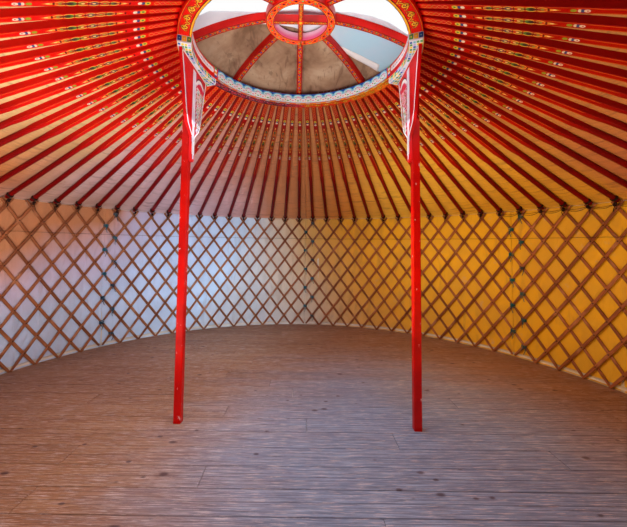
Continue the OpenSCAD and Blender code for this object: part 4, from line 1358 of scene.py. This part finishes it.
def paint_ring():
    """Scrolls, coloured fields and lines on the crown ring."""
    p = Paints()
    full = around(240)
    # underside: gold lines along both edges and scrolls between them
    mid = RING_R - RING_W / 2
    for y, w, c in ((-.0350, .0085, "gold"), (-.0283, .0030, "dark"), (.0340, .0030, "dark"), (.0365, .0035, "orange")):
        p.line(c, cols(full * mid, y), w, on_ring_under(0), loop=True, t=.0009 if c == "dark" else .0012)
    for side in (0, 180):
        for i in range(10):
            # the scrolls at the back left are in darker colours, as painted shade
            shaded_far_left = side == 0 and i > 4
            scroll_group(p, on_ring_under(side + (i - 4.5) * 13.2), .172, .060, dots=("green", "gold"),
                         main="berry" if shaded_far_left else "gold", second="rose" if shaded_far_left else "orange")
    # painted shade darkens the back of the ring at the left, and painted lamp light makes it golden at the right
    for a0, a1, ground, trim in ((3, 67, "plum", "berry"), (-67, -34, "orange", "yellow")):
        x = np.radians(lin(a0, a1, 60)) * mid
        p.line(ground, cols(x, 0), np.minimum(.078, .02 + .4 * np.minimum(x - x[0], x[-1] - x + .2)),
               on_ring_under(0), t=.0003)
        p.line(trim, cols(x, -.035), .0060, on_ring_under(0), t=.0020)
    # inner face: dark blue top, white cloud arches on sky blue, a pale band with dots, and a red one
    place = on_ring_inner(0)
    arc = RING_IN * math.radians(7.5)
    zones = [(-67, 67), (113, 247)]
    for a0, a1 in zones:
        x = np.radians(lin(a0, a1, 160)) * RING_IN
        flat = np.ones(160)
        for y, w, c, t in ((.0700, .032, "blue", .0004), (.0260, .035, "cool", .0022), (.0105, .0040, "lilac", .0026),
                           (.0045, .0080, "deep", .0020), (.0030, .0032, "gold", .0026), (.0442, .0026, "rose", .0026)):
            p.line(c, cols(x, flat * y), w, place, t=t)
        n = int(round((a1 - a0) / 7.5))
        for k in range(n):
            c = math.radians(a0 + (k + .5) * (a1 - a0) / n) * RING_IN
            for rx, ry, col, t in ((.56, .0480, "sky", .0004), (.46, .0385, "cool", .0006), (.36, .0305, "sky", .0008),
                                   (.31, .0255, "cool", .0010)):
                p.spot(col, c, .0400, arc * rx, ry * .92, place, n=20, t=t)
            p.spot("pink", c, .0590, arc * .12, .0050, place, t=.0014, n=10)
            for m in (-1, 1):
                s = spiral(c + m * arc * .17, .0530, .0070, 1.1, 90 - m * 90, m, 10)
                p.line("green" if m > 0 else "pink", s, .0034, place, t=.0016)
                p.spot("red", c + m * arc * .25, .0350, .0080, .0040, place, turn=m * .5, n=8, t=.0028)
            p.spot("green", c, .0260, .0120, .0050, place, n=8, t=.0028)
            p.spot("pink", c + arc / 2, .0260, .0120, .0050, place, n=8, t=.0028)
            p.spot("yellow", c + arc / 4, .0180, .0080, .0034, place, n=8, t=.0028)
            p.spot("sky", c - arc / 4, .0180, .0080, .0034, place, n=8, t=.0028)
    # over the arms: a long white cartouche and an upright block at each end
    for side in (90, 270):
        m = 1 if side == 90 else -1
        place = on_ring_inner(side)
        ext = math.radians(17.2) * RING_IN
        p.line("white", straight(-ext, .050, ext, .050, 40), .040, place, t=.0008)
        for e in (-1, 1):
            p.spot("white", e * ext, .050, .020, .020, place, n=16, t=.0008)
        rim = [straight(-ext, .0765, ext, .0765, 40), straight(-ext, .0235, ext, .0235, 40)]
        for r_ in rim:
            p.line("red", r_, .004, place, t=.0010)
        for i in range(9):
            c = -ext + (i + .5) * 2 * ext / 9
            p.line("lilac", spiral(c, .050, .012, 1.2, 0, 1, 12), .0030, place, t=.0014)
            p.spot("pink", c + ext / 9, .050, .005, .008, place, t=.0014, n=8)
            p.spot("blue", c, .050, .004, .004, place, t=.0018, n=8)
        for e in (-1, 1):
            x = e * math.radians(20.6) * RING_IN
            for k, col in enumerate(("blue", "white", "gold", "white", "green")):
                y = .010 + k * .0148 + .0074
                p.line(col, straight(x - .013, y, x + .013, y, 3), .0138, place, t=.0010)
    # the ring's top shows through the open crown from outside
    top = lambda x, y, h: polar(np.degrees(x / mid), mid + y, RING_TOP + h)
    for y in (-.033, .033):
        p.line("gold", cols(full * mid, y), .004, top, loop=True)
    p.make("ring_paint", "crown_paint")


def paint_arms():
    """Patterns on the two arms under the ring."""
    p = Paints()
    for side in (90, 270):
        inner = lambda x, y, h, s=side: polar(s + np.degrees(x / RING_IN), RING_IN - h, ARM_LOW + y)
        outer = lambda x, y, h, s=side: polar(s + np.degrees(x / RING_R), RING_R + h, ARM_LOW + y)
        mid = RING_R - RING_W / 2
        under = lambda x, y, h, s=side: polar(s + np.degrees(x / mid), mid + y, ARM_LOW - h)
        for place, r, faces in ((inner, RING_IN, 1), (outer, RING_R, 1), (under, mid, 0)):
            half = math.radians(ARM_DEG) * r - .008
            n = 21
            for i in range(n):
                x = -half + (i + .5) * 2 * half / n
                for row in range(2 if faces else 4):
                    if faces:
                        y = .0138 + row * .0184
                    elif abs(x) < POST_W:
                        continue
                    else:
                        y = (row - 1.5) * .0200
                    col = ("blue", "yellow", "green", "sky", "yellow", "lilac", "green")[(i * 2 + 3 * row) % 7]
                    p.line(col, straight(x - .0098, y, x + .0098, y, 2), .0148, place, t=.0009)
            if faces:
                for y in (.0026, .0432):
                    p.line("pink" if y > .02 else "gold", straight(-half, y, half, y, 40), .0024, place, t=.0009)
        for e in (-1, 1):
            a = side + e * ARM_DEG
            tangent = spin(np.array([[-1., 0, 0]]), a)[0] * e
            end = lambda x, y, h, a=a, d=tangent: polar(np.full(np.shape(x), a), RING_IN + x, ARM_LOW + y) + d * h
            for k, col in enumerate(("green", "yellow", "blue")):
                x = .0145 + k * .0280
                p.line(col, straight(x - .0120, .025, x + .0120, .025, 2), .032, end, t=.0009)
                p.line(("yellow", "white", "sky")[k], straight(x - .003, .025, x + .003, .025, 2), .008, end, t=.0015)
    p.make("arm_paint", "arm_paint")


def paint_crown_wood():
    """Chains on the spokes, the hub and its bars."""
    p = Paints()
    length = DOME_R * (math.asin(DOME_FOOT / DOME_R) - math.asin(HUB_R / DOME_R))
    for i in range(8):
        spoke = on_spoke(CROWN_TURN + i * 45)
        p.line("dark", straight(.006, 0, length - .01, 0, 14), .0400, spoke, t=.0004)
        p.line("deep", straight(.006, 0, length - .01, 0, 14), .0330, spoke, t=.0006)
        chain(p, spoke, .010, length - .012, .0120, .034, .0026, dots=("green", "blue"))
    hub, mid = on_hub_under(0), HUB_R - HUB_W / 2
    for y, w, c, t in ((0, .052, "dark", .0004), (0, .045, "red", .0006), (-.0195, .0022, "gold", .0009),
                       (.0195, .0022, "gold", .0009)):
        p.line(c, cols(around(96) * mid, y), w, hub, loop=True, t=t)
    n = 32
    x = lin(0, 2 * pi * mid, n * 6 + 1)
    wave = .0135 * np.sin(x / (2 * pi * mid) * n * pi)
    p.line("gold", cols(x, wave), .0026, hub, t=.0010)
    p.line("orange", cols(x, -wave), .0026, hub, t=.0013)
    for i in range(n):
        p.spot(("green", "dark")[i % 2], (i + .5) * 2 * pi * mid / n, 0, .0085, .0060, hub, n=8, t=.0012)
        p.spot("blue", i * 2 * pi * mid / n, .0125 if i % 2 else -.0125, .0050, .0036, hub, n=8, t=.0012)
    for turn_ in (0, 90):
        for s in (-1, 1):
            a, b = sorted((s * .020, s * .183))
            p.line("dark", straight(a, 0, b, 0, 3), .0300, on_bar(turn_), t=.0004)
            p.line("deep", straight(a, 0, b, 0, 3), .0240, on_bar(turn_), t=.0006)
            chain(p, on_bar(turn_), a, b, .0088, .0266, .0024, dots=("green", "gold"))
    p.spot("gold", 0., 0., .012, .012, on_bar(0), n=16, t=.0012)
    p.make("crown_wood_paint", "crown_paint")


WING_W, WING_L, WING_T = .235, .670, .020
WING = [(1, 0), (.97, .05), (.86, .19), (.73, .36), (.6, .54), (.46, .64), (.25, .7), (POST_W / 2 / WING_W, .745),
        (POST_W / 2 / WING_W, .97), (POST_W / 4 / WING_W, 1)]


def paint_boards():
    """Borders and small flowers on the inner faces of the two boards."""
    for side, name in ((-1, "left"), (1, "right")):
        p = Paints()
        base = POST_X - POST_W / 2 - SEAT - WING_T
        x = lambda h: side * (base - h)
        place = lambda y, z, h: cols(x(np.asarray(h)), y, POST_HEAD + z)
        sunk = lambda y, z, h: place(y, z, h - .003)
        half = np.array(WING) * [WING_W, -WING_L]
        s = lengths(half)
        q = lin(0, s[-2], 46)
        hw = cols(np.interp(q, s, half[:, 0]), np.interp(q, s, half[:, 1]))
        for m in (-1, 1):
            rim = cols(m * (hw[:, 0] - .0095), hw[:, 1])
            p.line("white", rim[:-2], .013, place)
            p.line("lilac", (rim - [m * .0085, 0])[2:-14], .004, place, t=.0010)
        p.line("white", straight(-WING_W + .006, -.0085, WING_W - .006, -.0085, 12), .012, place)
        # the far half: a pale rose ground under an arched border, with small flowers all over it
        f = lin(0, 1, 25)
        outer = lambda z: np.interp(-np.asarray(z), -half[:, 1], half[:, 0])
        edge = lambda z: outer(z) - .021
        field = lambda z: .86 * outer((np.asarray(z) + .01645) / .8084)
        laid = lambda y, z, h: place(y, z, h - .003 * (np.mean(y) < np.mean(field(z)) - .002))
        z = lin(-.052, -.470, 40)
        for lo, hi, on in ((np.full(40, .026), np.minimum(edge(z), field(z) - .0005), sunk),
                           (np.maximum(field(z) + .0005, .026), edge(z), place)):
            hi = np.maximum(hi, lo + .0004)
            p.line("berry", cols((lo + hi) / 2, z), hi - lo, on, t=.0005)
            # most of it is laid in white; on the left board also the upper part, as painted light that washes out the
            # rose ground
            lo, hi = np.maximum(lo, .052 if side < 0 else .052 + .12 * np.clip((z + .30) / .1, 0, 1)), hi - .002
            keep = (hi - lo > .004) & (z < -.12)
            if keep.sum() > 2:
                p.line("white", cols((lo + hi) / 2, z)[keep], (hi - lo)[keep], on, t=.0008)
        arch = cols(.036 + .166 * f, -.112 + .052 * np.sin(f * pi) ** .7)
        p.line("plum", arch + [0, .018], .010, sunk, t=.0008)
        p.line("white", arch, .022, sunk, t=.0014)
        p.line("lilac", arch - [0, .015], .004, sunk, t=.0012)
        step, row, z = .0190, 0, -.138
        while z > -.455:
            width = float(edge(z)) - .036
            if width < .006:
                break
            n = max(1, int(width / step))
            for i in range(n + 1):
                y = .036 + (i + .5 * (row % 2)) * width / n
                if y > .036 + width:
                    continue
                y += rng.uniform(-.002, .002)
                zz = z + rng.uniform(-.002, .002)
                # dark flowers on the white ground, which on the left board is partly painted light
                white_or_lit_ground = y > .056 and (side < 0 or z < -.26)
                col = (("berry", "green", "berry", "plum", "sky", "berry", "green", "blue") if white_or_lit_ground else
                       ("white", "white", "rose", "green", "white", "lilac", "white", "white"))[rng.integers(8)]
                r = rng.uniform(.0072, .0092)
                if rng.uniform() < .62:
                    for k in range(4):
                        t = k * pi / 2 + .4
                        p.spot(col, y + math.cos(t) * r * .62, zz + math.sin(t) * r * .62, r * .52, r * .40, laid,
                               turn=t, n=6, t=.0014)
                    p.spot("yellow" if col != "white" else "pink", y, zz, r * .28, r * .28, laid, n=6, t=.0020)
                else:
                    p.spot(col, y, zz, r * .9, r * .48, laid, turn=rng.uniform(0, pi), n=7, t=.0014)
            z -= step * .80
            row += 1
        # a white strip with lilac edges down the board's middle and into its tail
        for w, col, t in ((.058, "lilac", .0008), (.046, "white", .0011), (.010, "lilac", .0014)):
            p.line(col, straight(0, -.030, 0, -.535, 12), w, sunk, t=t)
        p.line("lilac", straight(0, -.53, 0, -.65, 8), .024, place)
        p.line("white", straight(0, -.53, 0, -.65, 8), .014, place, t=.0012)
        p.make("board_paint_" + name, "wing_paint")


DOOR_Y = -math.sqrt((LATH_OUT - .001) ** 2 - .415 ** 2)


def knot(c, r):
    """An endless knot: a Lissajous loop on a square lattice, about a centre."""
    t = around(96)
    return cols(c[0] + r * np.sin(3 * t) * .95, c[1] + r * np.sin(4 * t + .4))


def meander(x0, x1, y, h, n):
    """A running key pattern."""
    step = (x1 - x0) / n
    cell = [(0, 0), (0, 1), (.8, 1), (.8, .3), (.45, .3), (.45, .62), (.25, .62), (.25, 0)]
    pts = []
    for i in range(n):
        pts += [(x0 + (i + a * .92) * step, y + (b - .5) * h) for a, b in cell]
    return np.array(pts)


def frame_line(x, z, a, b):
    """A closed rectangle about (x, z), with half sizes a and b."""
    return np.array([(-a, -b), (a, -b), (a, b), (-a, b), (-a, -b)]) + [x, z]


def stroked(p, colour, pts, w, place, t=.0008):
    """A line with square corners, made of short straight bars."""
    for a, b in zip(pts[:-1], pts[1:]):
        d = np.array(b) - a
        n = np.linalg.norm(d)
        if n < 1e-6:
            continue
        e = d / n * w / 2
        p.line(colour, [a - e, b + e], w, place, t=t)


def paint_door():
    """Fields, knots and key pattern of the door, and its iron."""
    p = Paints()
    for face, out in ((DOOR_Y, -1), (DOOR_Y + LEAF_T, 1)):
        leaf = lambda x, z, h, y0=face, d=out: cols(x, y0 + d * np.asarray(h), z)
        field = lambda x, z, h, f=leaf: f(x, z, h - .004)
        w, h = (LEAF_W - 3 * LEAF_BAR) / 2, (LEAF_H - 3 * LEAF_BAR) / 2
        for i in (0, 1):
            for j in (0, 1):
                cx = -LEAF_W / 2 + LEAF_BAR + i * (w + LEAF_BAR) + w / 2
                cz = LEAF_LOW + LEAF_BAR + j * (h + LEAF_BAR) + h / 2
                a, b = w / 2 - .022 - .010, h / 2 - .022 - .010
                stroked(p, "blue", frame_line(cx, cz, a, b), .007, field)
                stroked(p, "gold", frame_line(cx, cz, a - .010, b - .010), .003, field)
                p.line("gold", knot((cx, cz), .046), .0052, field, loop=True)
                p.spot("green", cx, cz, .008, .008, field, n=10, t=.0014)
                for m in (-1, 1):
                    for v in (-1, 1):
                        s = spiral(0, 0, .026, 1.3, 90, -1) * [m, v] + [cx + m * .036, cz + v * (b - .055)]
                        p.line("gold", s, tapered(len(s), .0055), field)
                        s = spiral(0, 0, .017, 1.2, 200, 1) * [m, v] + [cx + m * .020, cz + v * .092]
                        p.line("blue", s, tapered(len(s), .0048), field)
                        p.spot("white", cx + m * .046, cz + v * .135, .010, .0045, field, turn=m * v * .8)
                        p.spot("green", cx + m * .018, cz + v * (b - .020), .010, .0045, field, turn=-m * v * .5)
        for middle in (-LEAF_W / 2 + LEAF_BAR / 2, LEAF_W / 2 - LEAF_BAR / 2):
            for x in (middle - .030, middle + .030):
                p.line("gold", straight(x, .185, x, 1.530, 8), .003, leaf)
    frame_face = lambda x, z, h: cols(x, DOOR_Y - np.asarray(h), z)
    for x in (-JAMB_X, JAMB_X):
        turned = lambda u, v, h, x0=x: frame_face(x0 + v, u, h)
        stroked(p, "blue", meander(.17, 1.50, 0, .026, 26), .0045, turned)
        for e in (-1, 1):
            p.line("gold", straight(.10, e * .024, 1.56, e * .024, 8), .003, turned)
    for z in (LINTEL_Z - .0015, .125):
        stroked(p, "blue", meander(-.33, .33, z, .028, 13), .0045, frame_face)
    p.make("door_paint", "door_paint")
    # iron pull ring with its plate, and three strap hinges
    iron = Form()
    rose = circle(.026, 18)
    iron.tube([cols(-.306 + rose[:, 0] * k, DOOR_Y - d, .92 + rose[:, 1] * k)
               for k, d in ((1, -.001), (1, .002), (.86, .0038), (.3, .0042))])
    u = around(28)
    iron.sweep(cols(-.306 + .034 * np.sin(u), DOOR_Y - .0085 - .002 * np.cos(u), .895 + .034 * np.cos(u)),
               circle(.0038, 8), (0, 1, 0), loop=True)
    u = around(14)
    iron.sweep(cols(-.306, DOOR_Y - .006 - .0062 * np.cos(u), .926 + .0072 * np.sin(u)),
               circle(.0022, 6), (1, 0, 0), loop=True)
    for z in (.30, .857, 1.41):
        prof = rounded(.036, .003, .0012)
        iron.sweep([(x, DOOR_Y - .0014, z) for x in (.330, .20, .17, .155)],
                   [prof * [size, 1] for size in (1, .62, .5, .12)], (0, -1, 0))
        k = circle(.0075, 10)
        iron.tube([cols(.352 + k[:, 0], DOOR_Y - .004 + k[:, 1], zz) for zz in (z - .024, z + .024)])
        for xx in (.215, .30):
            iron.tube([cols(xx + k[:, 0] * f, DOOR_Y - .0028 - d, z + k[:, 1] * f)
                       for f, d in ((.62, -.001), (.56, .0014), (.2, .0024))])
    iron.make("door_iron", look_iron, "door_paint", smooth=40)


paint_ring()
paint_arms()
paint_crown_wood()
paint_boards()
paint_door()


# ---------------------------------------------------------------- looks of the CAD pieces that show
def hub_look():
    """Red, with the pink inner side of the hub's rim."""
    k = Look("hub_paint", .4)
    t = k.where(turn=(0, 0, math.radians(-CROWN_TURN)))
    x, y, z = k.split(t)
    r = k.math("SQRT", x * x + y * y)
    bar = k.math("MINIMUM", abs(x), abs(y))
    inside = k.soft(r, .1845, .1855, 1., 0) * k.soft(bar, .0172, .0176)
    broad = k.noise(k.where(), 6., 3)
    c = k.mix(k.soft(broad, .35, .75), RED, DEEP)
    c = k.mix(inside, c, k.mix(k.soft(z, HUB_Z + .01, HUB_Z + .05), rgb(240, 96, 150), rgb(244, 190, 214)))
    k.relief(k.noise(k.where((40, 40, 9)), 6., 4, .6), .0006)
    return k.done(c)


look_red = painted("red_paint", RED, .34)
look_post = painted("post_paint", rgb(176, 8, 3), .36, wear=.4, chips=.7, spec=.10)
look_arm = painted("white_paint", rgb(222, 226, 240), .42, dark=.86)
look_board = painted("board_ground", rgb(208, 14, 20), .42)
look_door = painted("door_orange", rgb(222, 92, 22), .40, dark=.80)
look_frame = painted("door_red", rgb(206, 48, 18), .40, dark=.80)
for names, look in ((["crown_ring", "crown_spokes"], look_red), (["crown_hub"], hub_look()),
                    (["post_left", "post_right"], look_post), (["post_arm_left", "post_arm_right"], look_arm),
                    (["post_wings_left", "post_wings_right"], look_board), (["door_leaf"], look_door),
                    (["door_frame"], look_frame), (["floor_rim", "floor_joists"], look_timber)):
    for n in names:
        nodes[n].data.materials.clear()
        nodes[n].data.materials.append(look)

{"cad": cad_box, "visual": [[float(x) for x in corner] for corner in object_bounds()]}
